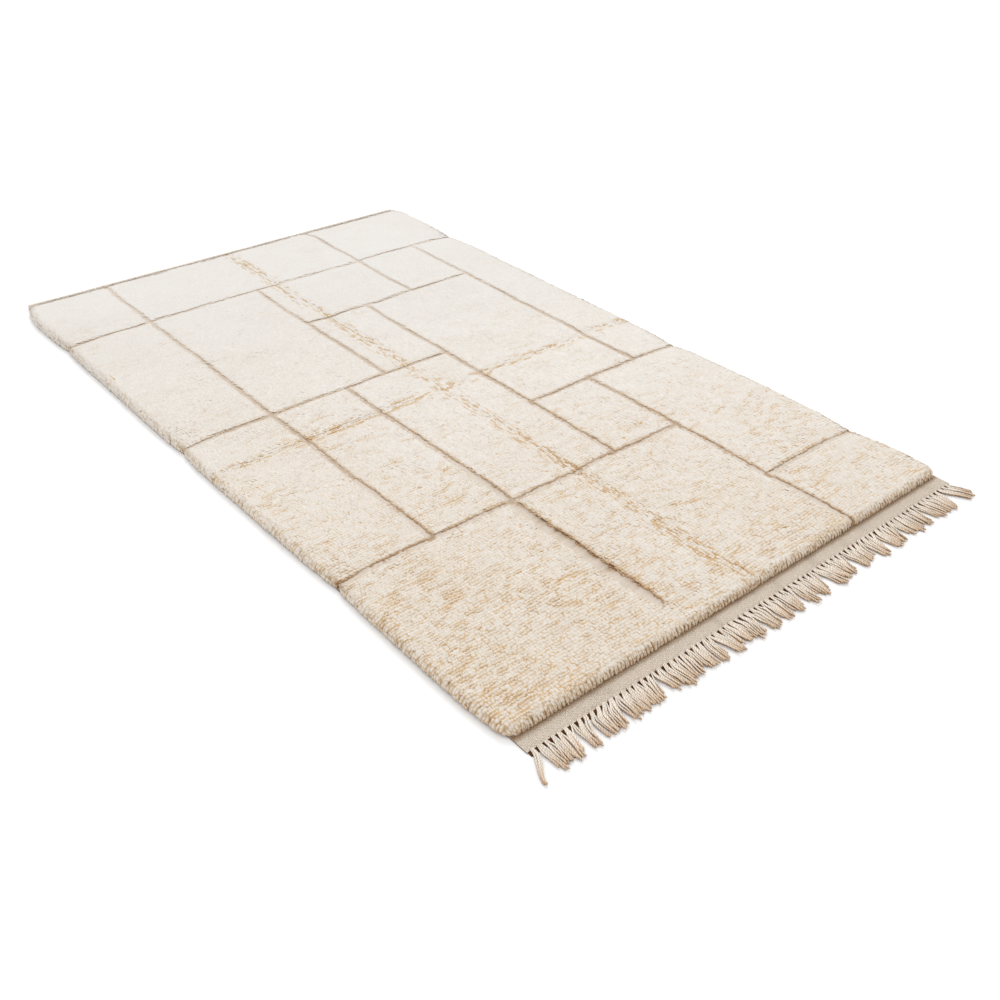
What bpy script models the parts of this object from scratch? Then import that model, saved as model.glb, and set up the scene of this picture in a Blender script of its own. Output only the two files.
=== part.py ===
"""Beni ourain rug, hand-knotted in cream wool, lying flat and seen as woven.

Three pieces: the woven ground with its flat-woven end strip and its rolled far hem, the
thick knotted pile with its carved lines and soft rim of locks, and the cord fringe.
Metres, +Z up. The rug lies on z = 0, centred on the origin, with its fringe at -Y.
"""

import math
import random

import bmesh
import bpy
from mathutils import Vector, noise

# Driving dimensions of the whole rug.
PILE_WIDTH = 1.500            # across the pile, between the middles of its rims
RUG_LENGTH = 2.515            # from the fringed edge of the cloth to the far hem
FRINGE_LENGTH = 0.083         # from the cloth's edge to the longest strand's tip
TOUCH = 0.0003                # space kept between pieces that touch

# Woven ground.
GROUND_THICK = 0.003
GROUND_INSET = 0.009          # the pile's rim hangs over the ground by this much
STRIP_DEPTH = 0.045           # flat-woven strip left bare at the fringed end
HEM_DEPTH = 0.022             # rolled hem at the far end
HEM_HIGH = 0.016
HEM_NUB = 0.008               # how far the hem's left end pokes out
HEM_UNEVEN = 0.0012
GROUND_COLUMNS = 14

# Knotted pile.
PILE_TOP = 0.025
FAR_TOP = 0.018               # the pile is thinner where it meets the hem
FAR_TAPER = 0.090
LUMP = 0.0029                 # unevenness of the pile's top
LUMP_SIZE = 0.160
SMALL_LUMP_SIZE = 0.070
FILL_STEP = 0.078             # spacing of plain rows of points in the pile's top
RIM_ROW = 0.022               # row of points just inside the rim
RIM_STEP = 0.0135             # spacing of points along the rim
LOCK_OUT = 0.0040             # how far a lock stands out of the rim
LINE_NOTCH = 0.006            # how far the rim steps in where a carved line meets it
CORNER_RADIUS = 0.034

# Carved lines and fold creases in the pile.
LINE_TOP = 0.018              # width of a carved line at the pile's top
LINE_FLOOR = 0.008
LINE_FLOOR_Z = 0.0105
LINE_WOBBLE = 0.0045
LINE_WOBBLE_SIZE = 0.220
CREASE_HALF = 0.026
CREASE_SPREAD = 0.018
CREASE_DEEP = 0.0032

# Fringe.
STRANDS = 150
HEADING_DEPTH = 0.005         # narrow strip that the strands grow from
HEADING_HIGH = 0.005
STRAND_WIDE = 0.0056
STRAND_TIP = 0.0044           # a strand's width at its tip
ROOT_SHIFT = 0.0012           # how far a root strays from even spacing
TIP_PITCH = 0.0064            # spacing of the tips inside one clump
TIP_APART = 0.0058            # least spacing of any two tips, so that no strand crosses another
CORNER_LEAN = (-0.020, 0.018) # how far the clumps at the two corners lean outwards
CLUMP_LEAN = 0.009            # how far any other clump leans either way

SEED = 41

TOTAL_LENGTH = RUG_LENGTH + FRINGE_LENGTH
HALF_PILE = PILE_WIDTH / 2
HALF_GROUND = HALF_PILE - GROUND_INSET
HEM_END = TOTAL_LENGTH / 2
STRIP_EDGE = HEM_END - RUG_LENGTH
PILE_NEAR = STRIP_EDGE + STRIP_DEPTH
PILE_FAR = HEM_END - HEM_DEPTH - TOUCH
PILE_FOOT = GROUND_THICK + TOUCH

# The rolled hem's cut: (part of its depth, part of its height).
HEM_ROLL = ((0.03, 0.45), (0.25, 0.85), (0.55, 1.0), (0.85, 0.72), (1.0, 0.05))

# Carved lines, in staggered blocks: (runs along, place, from, to), in metres.
# "length" lines keep one x and run in y; "width" lines keep one y and run in x.
CARVED = (
    ("length", -0.470, -0.580, PILE_FAR),
    ("length", -0.225, PILE_NEAR, 0.160),
    ("length", -0.085, 0.160, 0.915),
    ("length", 0.140, -0.580, 0.590),
    ("length", 0.330, 0.590, PILE_FAR),
    ("length", 0.375, PILE_NEAR, -0.235),
    ("length", 0.565, -0.235, 0.915),
    ("width", -0.900, 0.375, HALF_PILE),
    ("width", -0.580, -HALF_PILE, 0.375),
    ("width", -0.235, 0.140, HALF_PILE),
    ("width", 0.160, -HALF_PILE, 0.140),
    ("width", 0.590, -0.085, 0.565),
    ("width", 0.915, -HALF_PILE, HALF_PILE),
)

# The rug was folded in four, and both folds still show: (runs along, place).
CREASES = (("length", -0.008), ("width", -0.020))

# How far each long side is drawn in along the rug: (y, left side, right side).
SIDE_DRAWN_IN = (
    (PILE_NEAR, 0.010, 0.005),
    (-1.050, 0.000, 0.002),
    (-0.550, 0.003, 0.000),
    (0.050, -0.002, 0.003),
    (0.650, 0.001, -0.002),
    (1.130, -0.004, -0.003),
    (1.215, 0.006, -0.006),
    (PILE_FAR, 0.026, 0.004),
)


def clear_scene():
    for obj in list(bpy.data.objects):
        bpy.data.objects.remove(obj, do_unlink=True)


def wool(name, colour, roughness):
    material = bpy.data.materials.new(name)
    material.use_nodes = True
    shader = material.node_tree.nodes["Principled BSDF"]
    shader.inputs["Base Color"].default_value = (*colour, 1.0)
    shader.inputs["Roughness"].default_value = roughness
    shader.inputs["Metallic"].default_value = 0.0
    return material


def finish_object(bm, name, material):
    """Turns a bmesh into a named object with its faces pointing out and soft shading."""
    bmesh.ops.recalc_face_normals(bm, faces=bm.faces)
    mesh = bpy.data.meshes.new(name)
    bm.to_mesh(mesh)
    bm.free()
    mesh.materials.append(material)
    mesh.shade_smooth()
    mesh.set_sharp_from_angle(angle=math.radians(50))
    obj = bpy.data.objects.new(name, mesh)
    bpy.context.collection.objects.link(obj)
    return obj


def side_drawn_in(y, left):
    """Reads SIDE_DRAWN_IN at y, straight between its rows."""
    column = 1 if left else 2
    rows = SIDE_DRAWN_IN
    if y <= rows[0][0]:
        return rows[0][column]
    for low, high in zip(rows, rows[1:]):
        if y <= high[0]:
            part = (y - low[0]) / (high[0] - low[0])
            return low[column] + part * (high[column] - low[column])
    return rows[-1][column]


def smooth_noise(x, y, size, layer):
    """Even noise from -1 to 1 whose lumps are about size across."""
    return noise.noise(Vector((x / size, y / size, layer * 7.3)))


# ---------------------------------------------------------------- woven ground


def ground_rows():
    """(y, top height) rows of the ground, from the fringed edge to the hem's outer edge."""
    hem = HEM_END - HEM_DEPTH
    flat = [STRIP_EDGE, PILE_NEAR, -0.400, 0.400, 1.130, 1.215, hem]
    rows = [(y, GROUND_THICK) for y in flat]
    roll = HEM_HIGH - GROUND_THICK
    for across, up in HEM_ROLL:
        rows.append((hem + across * HEM_DEPTH, GROUND_THICK + up * roll))
    return rows


def make_ground(material):
    rows = ground_rows()
    bm = bmesh.new()
    bmesh.ops.create_grid(bm, x_segments=GROUND_COLUMNS, y_segments=len(rows) - 1, size=1.0)
    under = list(bm.verts)
    grown = bmesh.ops.extrude_face_region(bm, geom=list(bm.faces), use_keep_orig=True)
    upper = [item for item in grown["geom"] if isinstance(item, bmesh.types.BMVert)]
    for verts, on_top in ((under, False), (upper, True)):
        for vert in verts:
            column = round((vert.co.x + 1) / 2 * GROUND_COLUMNS)
            row = round((vert.co.y + 1) / 2 * (len(rows) - 1))
            y, top = rows[row]
            across = 2 * column / GROUND_COLUMNS - 1
            x = across * (HALF_GROUND - side_drawn_in(y, across < 0))
            in_hem = y > HEM_END - HEM_DEPTH
            if in_hem and column == 0:
                x -= HEM_NUB
            if in_hem and on_top:
                top += HEM_UNEVEN * smooth_noise(x, y, 0.12, 1)
            vert.co = (x, y, top if on_top else 0.0)
    return finish_object(bm, "ground_weave", material)


# ---------------------------------------------------------------- knotted pile


def pile_lines(along, low, high):
    """Places of the pile's rows of points: at the rims, carved lines and creases, then filled."""
    places = {low, low + RIM_ROW, high - RIM_ROW, high}
    for runs, place, _, _ in CARVED:
        if runs == along:
            for half in (LINE_TOP / 2, LINE_FLOOR / 2):
                places.update((place - half, place + half))
    for runs, place in CREASES:
        if runs == along:
            places.update((place - CREASE_HALF, place, place + CREASE_HALF))
    places = sorted(places)
    filled = [places[0]]
    for before, after in zip(places, places[1:]):
        pieces = math.ceil((after - before) / FILL_STEP)
        step = (after - before) / pieces
        filled.extend(before + step * (i + 1) for i in range(pieces))
    return filled


def in_carved_line(x, y):
    """True on the floor of a carved line."""
    reach = LINE_FLOOR / 2 + 1e-6
    for runs, place, start, end in CARVED:
        across, along = (x, y) if runs == "length" else (y, x)
        if abs(across - place) < reach and start - reach < along < end + reach:
            return True
    return False


def crease_depth(x, y):
    depth = 0.0
    for runs, place in CREASES:
        across, along = (x, y) if runs == "length" else (y, x)
        uneven = 0.75 + 0.5 * smooth_noise(along, place, 0.3, 2)
        depth = max(depth, uneven * CREASE_DEEP * math.exp(-((across - place) / CREASE_SPREAD) ** 2))
    return depth


def pile_height(x, y):
    taper = min(1.0, max(0.0, (y - (PILE_FAR - FAR_TAPER)) / FAR_TAPER))
    top = PILE_TOP + (FAR_TOP - PILE_TOP) * taper
    if in_carved_line(x, y):
        return LINE_FLOOR_Z + 0.0008 * smooth_noise(x, y, 0.09, 3)
    lumps = smooth_noise(x, y, LUMP_SIZE, 4) + 0.6 * smooth_noise(x, y, SMALL_LUMP_SIZE, 5)
    return top + LUMP * lumps * (1 - 0.6 * taper) - crease_depth(x, y)


def round_corner(x, y):
    """Pulls a place of the plain rectangle in to its rounded corner, and gives the way out."""
    near = y < 0
    centre_x = math.copysign(HALF_PILE - CORNER_RADIUS, x)
    centre_y = PILE_NEAR + CORNER_RADIUS if near else PILE_FAR - CORNER_RADIUS
    past_x = (x - centre_x) * math.copysign(1, x)
    past_y = (centre_y - y) if near else (y - centre_y)
    if past_x > 0 and past_y > 0:
        way = Vector((x - centre_x, y - centre_y)).normalized()
        reach = max(past_x, past_y)
        return centre_x + way.x * reach, centre_y + way.y * reach, way
    if past_x >= CORNER_RADIUS - 1e-6:
        return x, y, Vector((math.copysign(1, x), 0.0))
    return x, y, Vector((0.0, -1.0 if near else 1.0))


def wander(x, y):
    """Shifts a place by the slow wobble of hand-carved lines and by the sides' outline."""
    hold_x = 1 - (abs(x) / HALF_PILE) ** 6
    middle = (PILE_NEAR + PILE_FAR) / 2
    hold_y = 1 - min(1.0, abs(y - middle) / (PILE_FAR - middle)) ** 8
    shift_x = LINE_WOBBLE * smooth_noise(x, y, LINE_WOBBLE_SIZE, 6) * hold_x
    shift_y = LINE_WOBBLE * smooth_noise(x, y, LINE_WOBBLE_SIZE, 7) * hold_y
    drawn = side_drawn_in(y, x < 0) * x / HALF_PILE
    return x + shift_x - drawn, y + shift_y


def subdivide_rim(bm):
    """Adds points along the rim so that each lock has its own."""
    long_edges = {}
    for edge in bm.edges:
        if edge.is_boundary:
            cuts = round(edge.calc_length() / RIM_STEP) - 1
            if cuts > 0:
                long_edges.setdefault(cuts, []).append(edge)
    for cuts, edges in sorted(long_edges.items()):
        bmesh.ops.subdivide_edges(bm, edges=edges, cuts=cuts)


def rim_loop(bm):
    """The rim's vertices in order, walking once round the boundary."""
    start = next(vert for vert in bm.verts if vert.is_boundary)
    loop = [start]
    previous = None
    while True:
        ways = [e.other_vert(loop[-1]) for e in loop[-1].link_edges if e.is_boundary]
        onward = next(vert for vert in ways if vert is not previous)
        if onward is start:
            return loop
        previous = loop[-1]
        loop.append(onward)


# The rim's shape from its shoulder to its foot: (part of the height, out, share of a lock).
RIM_RINGS = (
    (0.86, -0.0085, 0.4),
    (0.62, -0.0020, 0.9),
    (0.28, 0.0000, 1.0),
    (0.00, -0.0060, 0.5),
)


def make_pile(material):
    xs = pile_lines("length", -HALF_PILE, HALF_PILE)
    ys = pile_lines("width", PILE_NEAR, PILE_FAR)
    bm = bmesh.new()
    bmesh.ops.create_grid(bm, x_segments=len(xs) - 1, y_segments=len(ys) - 1, size=1.0)
    for vert in bm.verts:
        column = round((vert.co.x + 1) / 2 * (len(xs) - 1))
        row = round((vert.co.y + 1) / 2 * (len(ys) - 1))
        vert.co = (xs[column], ys[row], 0.0)
    subdivide_rim(bm)
    loop = rim_loop(bm)
    draw = random.Random(SEED)

    rim = []
    for index, vert in enumerate(loop):
        x, y, way = round_corner(vert.co.x, vert.co.y)
        height = pile_height(vert.co.x, vert.co.y)
        notch = LINE_NOTCH if in_carved_line(vert.co.x, vert.co.y) else 0.0
        lock = LOCK_OUT * (draw.uniform(0.25, 1.0) if index % 2 else draw.uniform(-1.0, -0.2))
        if way.y > 0.5:
            lock = -abs(lock)
        side_x, side_y = wander(x, y)
        rim.append((Vector((side_x, side_y)), way, height, lock, notch))

    rim_verts = set(loop)
    for vert in bm.verts:
        if vert not in rim_verts:
            x, y = vert.co.x, vert.co.y
            vert.co = (*wander(x, y), pile_height(x, y))

    ring = loop
    for step, (part, out, share) in enumerate(RIM_RINGS):
        if step == 0:
            made = ring
        else:
            made = [bm.verts.new((0, 0, 0)) for _ in ring]
        for vert, (place, way, height, lock, notch) in zip(made, rim):
            spot = place + way * (out + share * lock - notch)
            on_floor = notch > 0 and step == 0
            rise = 1.0 if on_floor else part
            vert.co = (spot.x, spot.y, PILE_FOOT + rise * (height - PILE_FOOT))
        if step:
            for i in range(len(ring)):
                after = (i + 1) % len(ring)
                bm.faces.new((ring[i], ring[after], made[after], made[i]))
        ring = made
    bm.faces.new(ring)
    return finish_object(bm, "knotted_pile", material)


# ---------------------------------------------------------------- fringe


def clumps(draw):
    """Shares the strands out into clumps of three to eight that lean together."""
    sizes = []
    while sum(sizes) < STRANDS:
        sizes.append(min(draw.choice((3, 4, 5, 5, 6, 8)), STRANDS - sum(sizes)))
    return sizes


def strand_plan(draw):
    """(root x, tip x, length) of every strand, from left to right."""
    half = HALF_GROUND - side_drawn_in(STRIP_EDGE, True)
    pitch = 2 * half / STRANDS
    plan = []
    first = 0
    for size in clumps(draw):
        middle = -half + pitch * (first + size / 2)
        at_left = first == 0
        at_right = first + size == STRANDS
        lean = draw.uniform(-CLUMP_LEAN, CLUMP_LEAN)
        if at_left:
            lean = CORNER_LEAN[0]
        elif at_right:
            lean = CORNER_LEAN[1]
        clump_length = draw.uniform(0.86, 0.97)
        for place in range(size):
            root = -half + pitch * (first + place + 0.5) + draw.uniform(-ROOT_SHIFT, ROOT_SHIFT)
            share = min(1.0 / clump_length, draw.uniform(0.90, 1.08))
            tip = middle + lean + (place - (size - 1) / 2) * TIP_PITCH
            tip = root + (tip - root) * share
            if plan:
                tip = max(tip, plan[-1][1] + TIP_APART)
            length = FRINGE_LENGTH * clump_length * share
            plan.append((root, tip, length))
        first += size
    longest = max(range(STRANDS), key=lambda i: plan[i][2])
    root, tip, _ = plan[longest]
    plan[longest] = (root, tip, FRINGE_LENGTH)
    return plan


def strand_section(root, tip, length, part):
    """The four corners of a strand's cut, flat on the floor, at a part of its length."""
    bend = part * part * (3 - 2 * part)
    x = root + (tip - root) * (0.45 * part + 0.55 * bend)
    start = STRIP_EDGE - TOUCH - HEADING_DEPTH
    end = STRIP_EDGE - length
    y = start + (end - start) * part
    wide = STRAND_WIDE + (STRAND_TIP - STRAND_WIDE) * part
    high = HEADING_HIGH * (1 - 0.32 * part)
    return [
        Vector((x - wide / 2, y, 0.0)),
        Vector((x + wide / 2, y, 0.0)),
        Vector((x + wide * 0.3, y, high)),
        Vector((x - wide * 0.3, y, high)),
    ]


def make_fringe(material):
    draw = random.Random(SEED + 1)
    plan = strand_plan(draw)
    front = STRIP_EDGE - TOUCH - HEADING_DEPTH
    back = STRIP_EDGE - TOUCH
    half = HALF_GROUND - side_drawn_in(STRIP_EDGE, True)
    bm = bmesh.new()

    # The heading's corners at each place along it: front foot, front top, back top, back foot.
    places = [(-half, -half)]
    for root, tip, length in plan:
        cut = strand_section(root, tip, length, 0.0)
        places.append((cut[0].x, cut[3].x))
        places.append((cut[1].x, cut[2].x))
    places.append((half, half))
    rings = []
    for foot_x, top_x in places:
        corners = (
            (foot_x, front, 0.0),
            (top_x, front, HEADING_HIGH),
            (top_x, back, HEADING_HIGH),
            (foot_x, back, 0.0),
        )
        rings.append([bm.verts.new(corner) for corner in corners])
    roots = []
    for index, (left, right) in enumerate(zip(rings, rings[1:])):
        for corner in range(4):
            after = (corner + 1) % 4
            face = bm.faces.new((left[corner], right[corner], right[after], left[after]))
            if corner == 0 and index % 2:
                roots.append(face)
    bm.faces.new(rings[0])
    bm.faces.new(reversed(rings[-1]))

    for face, (root, tip, length) in zip(roots, plan):
        for part in (0.34, 0.68, 1.0):
            grown = bmesh.ops.extrude_discrete_faces(bm, faces=[face])
            face = grown["faces"][0]
            corners = strand_section(root, tip, length, part)
            low = sorted((v for v in face.verts if v.co.z < 0.001), key=lambda v: v.co.x)
            high = sorted((v for v in face.verts if v.co.z >= 0.001), key=lambda v: v.co.x)
            for vert, corner in zip(low + high, (corners[0], corners[1], corners[3], corners[2])):
                vert.co = corner
    return finish_object(bm, "fringe", material)


def centre_footprint(objects):
    """Moves the meshes so that the footprint's middle is exactly on the origin."""
    points = [v.co for obj in objects for v in obj.data.vertices]
    middle_x = (min(p.x for p in points) + max(p.x for p in points)) / 2
    middle_y = (min(p.y for p in points) + max(p.y for p in points)) / 2
    for obj in objects:
        for vert in obj.data.vertices:
            vert.co.x -= middle_x
            vert.co.y -= middle_y


def main():
    clear_scene()
    ground_wool = wool("ground_wool", (0.60, 0.49, 0.38), 0.9)
    pile_wool = wool("pile_wool", (0.82, 0.75, 0.64), 0.95)
    fringe_wool = wool("fringe_wool", (0.76, 0.67, 0.55), 0.9)
    pieces = [make_ground(ground_wool), make_pile(pile_wool), make_fringe(fringe_wool)]
    centre_footprint(pieces)


main()
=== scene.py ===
# %% [markdown]
# # A hand-knotted wool rug
# The real rug is a cream Moroccan wool rug: a thin woven ground, a thick pile of knotted
# wool with lines carved into it, a strip of plain weave and a cord fringe at one end, and a
# rolled hem at the other. This lesson dresses the plain CAD solids of that rug with the
# wool, the weave and the twisted cords that they only stand for.
#
# Everything is in metres, in the same place as the CAD solids: the rug lies on z = 0, it is
# centred on the origin, and its fringe points along -Y.

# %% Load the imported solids
import functools
import math
import random

import bmesh
import bpy
import numpy as np
from mathutils import Matrix, Vector, noise


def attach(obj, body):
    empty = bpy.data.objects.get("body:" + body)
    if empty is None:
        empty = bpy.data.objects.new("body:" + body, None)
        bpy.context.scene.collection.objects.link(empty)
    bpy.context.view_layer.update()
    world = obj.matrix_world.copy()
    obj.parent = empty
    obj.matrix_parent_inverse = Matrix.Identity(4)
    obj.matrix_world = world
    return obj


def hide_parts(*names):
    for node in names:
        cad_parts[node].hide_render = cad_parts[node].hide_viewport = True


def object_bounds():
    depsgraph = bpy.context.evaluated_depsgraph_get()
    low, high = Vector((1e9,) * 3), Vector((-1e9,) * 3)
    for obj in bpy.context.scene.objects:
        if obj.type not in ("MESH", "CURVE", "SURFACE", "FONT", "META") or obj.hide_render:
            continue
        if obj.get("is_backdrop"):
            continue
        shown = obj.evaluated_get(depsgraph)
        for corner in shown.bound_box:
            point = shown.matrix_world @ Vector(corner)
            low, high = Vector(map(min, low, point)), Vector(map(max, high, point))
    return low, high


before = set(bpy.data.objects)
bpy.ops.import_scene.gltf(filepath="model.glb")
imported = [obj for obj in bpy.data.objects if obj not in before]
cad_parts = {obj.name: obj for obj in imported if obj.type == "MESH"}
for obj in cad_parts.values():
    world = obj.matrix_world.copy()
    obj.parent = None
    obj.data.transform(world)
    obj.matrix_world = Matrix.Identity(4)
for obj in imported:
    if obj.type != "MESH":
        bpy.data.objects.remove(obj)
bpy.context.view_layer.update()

# %% [markdown]
# ## Sizes
# The pieces made here have to lie where the solids lie, so the sizes that the solids were
# built from are repeated here by name. Each one is a length that could be measured on the
# rug with a tape.

# %% Sizes of the rug
PILE_WIDTH = 1.500
RUG_LENGTH = 2.515
FRINGE_LENGTH = 0.083
GROUND_THICK = 0.003
GROUND_INSET = 0.009
STRIP_DEPTH = 0.045
HEM_DEPTH = 0.022
HEM_HIGH = 0.016
HEM_NUB = 0.008
TOUCH = 0.0003
PILE_TOP = 0.025
FAR_TOP = 0.018
FAR_TAPER = 0.090
CORNER_RADIUS = 0.034
MIDDLE_SHIFT = -0.0003          # how far the solids were shifted in x to centre the rug

HALF_PILE = PILE_WIDTH / 2
HALF_GROUND = HALF_PILE - GROUND_INSET
HEM_END = (RUG_LENGTH + FRINGE_LENGTH) / 2
STRIP_EDGE = HEM_END - RUG_LENGTH
PILE_NEAR = STRIP_EDGE + STRIP_DEPTH
PILE_FAR = HEM_END - HEM_DEPTH - TOUCH
print("pile from", round(PILE_NEAR, 4), "to", round(PILE_FAR, 4))

# %% Carved lines, folds and the drawn-in sides
# Each line is (runs along, place, from, to). "length" lines keep one x and run in y.
CARVED = (
    ("length", -0.470, -0.580, PILE_FAR),
    ("length", -0.225, PILE_NEAR, 0.160),
    ("length", -0.085, 0.160, 0.915),
    ("length", 0.140, -0.580, 0.590),
    ("length", 0.330, 0.590, PILE_FAR),
    ("length", 0.375, PILE_NEAR, -0.235),
    ("length", 0.565, -0.235, 0.915),
    ("width", -0.900, 0.375, HALF_PILE),
    ("width", -0.580, -HALF_PILE, 0.375),
    ("width", -0.235, 0.140, HALF_PILE),
    ("width", 0.160, -HALF_PILE, 0.140),
    ("width", 0.590, -0.085, 0.565),
    ("width", 0.915, -HALF_PILE, HALF_PILE),
)
RUG_EDGES = {"length": (PILE_NEAR, PILE_FAR), "width": (-HALF_PILE, HALF_PILE)}
CREASES = (("length", -0.008), ("width", -0.020))

# How far each long side is drawn in along the rug: (y, left side, right side).
SIDE_DRAWN_IN = (
    (PILE_NEAR, 0.010, 0.005),
    (-1.050, 0.000, 0.002),
    (-0.550, 0.003, 0.000),
    (0.050, -0.002, 0.003),
    (0.650, 0.001, -0.002),
    (1.130, -0.004, -0.003),
    (1.215, 0.006, -0.006),
    (PILE_FAR, 0.026, 0.004),
)
print(len(CARVED), "carved lines and", len(CREASES), "folds")

# %% [markdown]
# ## Small helpers
# A few helpers are used all through the lesson. One turns a colour that is written as on the
# web into the linear numbers that a shader wants, one adds a shader node with its settings
# and links, and one starts a material. Then come the ones for meshes. An operator acts on all
# that is selected, so the selection is cleared first. Smooth noise gives random numbers that
# are the same on each run. What repeats is modelled once and copied as arrays of points,
# which is many times faster than copying objects.

# %% Colour and node helpers
def linear(hex_colour):
    """The linear RGBA of an sRGB colour such as "EFE6D8"."""
    channels = [int(hex_colour[i:i + 2], 16) / 255 for i in (0, 2, 4)]
    return [c / 12.92 if c <= 0.04045 else ((c + 0.055) / 1.055) ** 2.4 for c in channels] + [1.0]


def add_node(tree, kind, inputs=None, stops=(), **settings):
    """Adds a shader node. An input is a number, a hex colour, a node, or a node and its output.

    A node without its output is read by its main one. stops are a ramp's places and colours."""
    made = tree.nodes.new("ShaderNode" + kind)
    for name, value in settings.items():
        setattr(made, name, value)
    for place, (position, colour) in enumerate(stops):
        ramp = made.color_ramp
        stop = ramp.elements[place] if place < 2 else ramp.elements.new(position)
        stop.position = position
        stop.color = linear(colour)
    for name, value in (inputs or {}).items():
        source, *output = value if isinstance(value, tuple) else (value,)
        if isinstance(source, bpy.types.Node):
            main = 2 if source.type == "MIX" else 0
            tree.links.new(source.outputs[output[0] if output else main], made.inputs[name])
        else:
            made.inputs[name].default_value = linear(value) if isinstance(value, str) else value
    return made


def fresh_material(name):
    """A material without nodes, and a function that adds nodes to it."""
    material = bpy.data.materials.new(name)
    material.use_nodes = True
    material.node_tree.nodes.clear()
    return material, functools.partial(add_node, material.node_tree)


print("cream is", [round(c, 3) for c in linear("EFE6D8")])


# %% Selecting and smooth noise
def select_none():
    """Leaves nothing selected, so that the next operator acts on its own piece alone."""
    if bpy.context.object and bpy.context.object.mode != "OBJECT":
        bpy.ops.object.mode_set(mode="OBJECT")
    bpy.ops.object.select_all(action="DESELECT")


def edit_all(piece):
    """Opens one piece in edit mode, with all of it selected."""
    select_none()
    piece.select_set(True)
    bpy.context.view_layer.objects.active = piece
    bpy.ops.object.mode_set(mode="EDIT")
    bpy.ops.mesh.select_all(action="SELECT")


def face_out(piece):
    """Turns the faces of a closed piece outwards."""
    edit_all(piece)
    bpy.ops.mesh.normals_make_consistent(inside=False)
    bpy.ops.object.mode_set(mode="OBJECT")


def smooth_noise(x, y, size, layer, size_y=None):
    """Even noise from -1 to 1 whose lumps are about size across, for arrays of places."""
    x, y = np.broadcast_arrays(np.asarray(x, float), np.asarray(y, float))
    across = (x / size).ravel()
    along = (y / (size_y or size)).ravel()
    deep = layer * 7.3
    found = [noise.noise(Vector((a, b, deep))) for a, b in zip(across, along)]
    return np.array(found).reshape(x.shape)


select_none()
print("noise at the middle of the rug:", round(float(smooth_noise(0.0, 0.0, 0.1, 1)), 3))


# %% Meshes from arrays
def mesh_of_copies(name, points, faces, sharp=180):
    """One mesh from many copies of a small model. points is (copies, points of the model, 3).

    Edges where two faces meet at more than sharp degrees are kept sharp."""
    copies, each, _ = points.shape
    corners = np.concatenate([np.array(face) for face in faces])
    loops = (np.arange(copies)[:, None] * each + corners).ravel()
    sizes = np.tile([len(face) for face in faces], copies)
    starts = np.concatenate(([0], np.cumsum(sizes)[:-1]))
    mesh = bpy.data.meshes.new(name)
    mesh.vertices.add(copies * each)
    mesh.vertices.foreach_set("co", points.astype(np.float32).ravel())
    mesh.loops.add(len(loops))
    mesh.loops.foreach_set("vertex_index", loops.astype(np.int32))
    mesh.polygons.add(len(starts))
    mesh.polygons.foreach_set("loop_start", starts.astype(np.int32))
    mesh.update(calc_edges=True)
    mesh.shade_smooth()
    if sharp < 180:
        mesh.set_sharp_from_angle(angle=math.radians(sharp))
    return mesh


def paint(mesh, name, values):
    """Keeps four numbers at each point of a mesh, for a material to read."""
    layer = mesh.color_attributes.new(name, "FLOAT_COLOR", "POINT")
    layer.data.foreach_set("color", np.asarray(values, np.float32).ravel())


def place_piece(mesh, material):
    """Makes an object of a mesh that is already in its place, with its material."""
    piece = bpy.data.objects.new(mesh.name, mesh)
    bpy.context.collection.objects.link(piece)
    mesh.materials.append(material)
    return piece


print("points are kept to", round(float(np.spacing(np.float32(1.3))) * 1e6, 2), "micrometres")


# %% Faces of a tube, and how many triangles a piece has
def tube_faces(steps, ring, first=0):
    """Faces of a tube of rings whose first point has the number first: a skin and two caps."""
    faces = []
    for step in range(steps - 1):
        for k in range(ring):
            after = (k + 1) % ring
            low, high = first + step * ring, first + (step + 1) * ring
            faces.append([low + k, low + after, high + after, high + k])
    faces.append([first + k for k in reversed(range(ring))])
    faces.append([first + (steps - 1) * ring + k for k in range(ring)])
    return faces


def triangles(piece):
    return sum(len(face.vertices) - 2 for face in piece.data.polygons)


print("a tube of 4 rings of 8 points has", len(tube_faces(4, 8)), "faces")

# %% [markdown]
# ## Camera
# The rug is seen from above its near left corner, as a person standing beside it sees it.
# The place, the lens and the three turns below were worked out from the rug's four corners.
# The camera looks along f, r points to its right and u points up.

# %% Camera
CAMERA_PLACE = (-1.7344, -2.2882, 1.6038)
CAMERA_PITCH = 0.606            # radians below the horizon
CAMERA_YAW = -0.711             # radians from +Y, towards +X
CAMERA_ROLL = 0.0183
CAMERA_LENS = 40.05             # millimetres, on a sensor 36 mm wide


def camera_turn():
    pitch, yaw, roll = CAMERA_PITCH, CAMERA_YAW, CAMERA_ROLL
    f = Vector((-math.sin(yaw) * math.cos(pitch), math.cos(yaw) * math.cos(pitch), -math.sin(pitch)))
    r = Vector((math.cos(yaw), math.sin(yaw), 0.0))
    u = r.cross(f)
    right = r * math.cos(roll) + u * math.sin(roll)
    up = u * math.cos(roll) - r * math.sin(roll)
    return Matrix((right, up, -f)).transposed().to_4x4()


select_none()
bpy.ops.object.camera_add()
camera = bpy.context.object
camera.name = "camera"
camera.data.lens = CAMERA_LENS
camera.data.sensor_width = 36.0
camera.data.clip_end = 60.0     # far enough to see all of the floor
camera.matrix_world = Matrix.Translation(CAMERA_PLACE) @ camera_turn()
bpy.context.scene.camera = camera
print("camera at", CAMERA_PLACE, "with a lens of", CAMERA_LENS, "mm")

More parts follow.
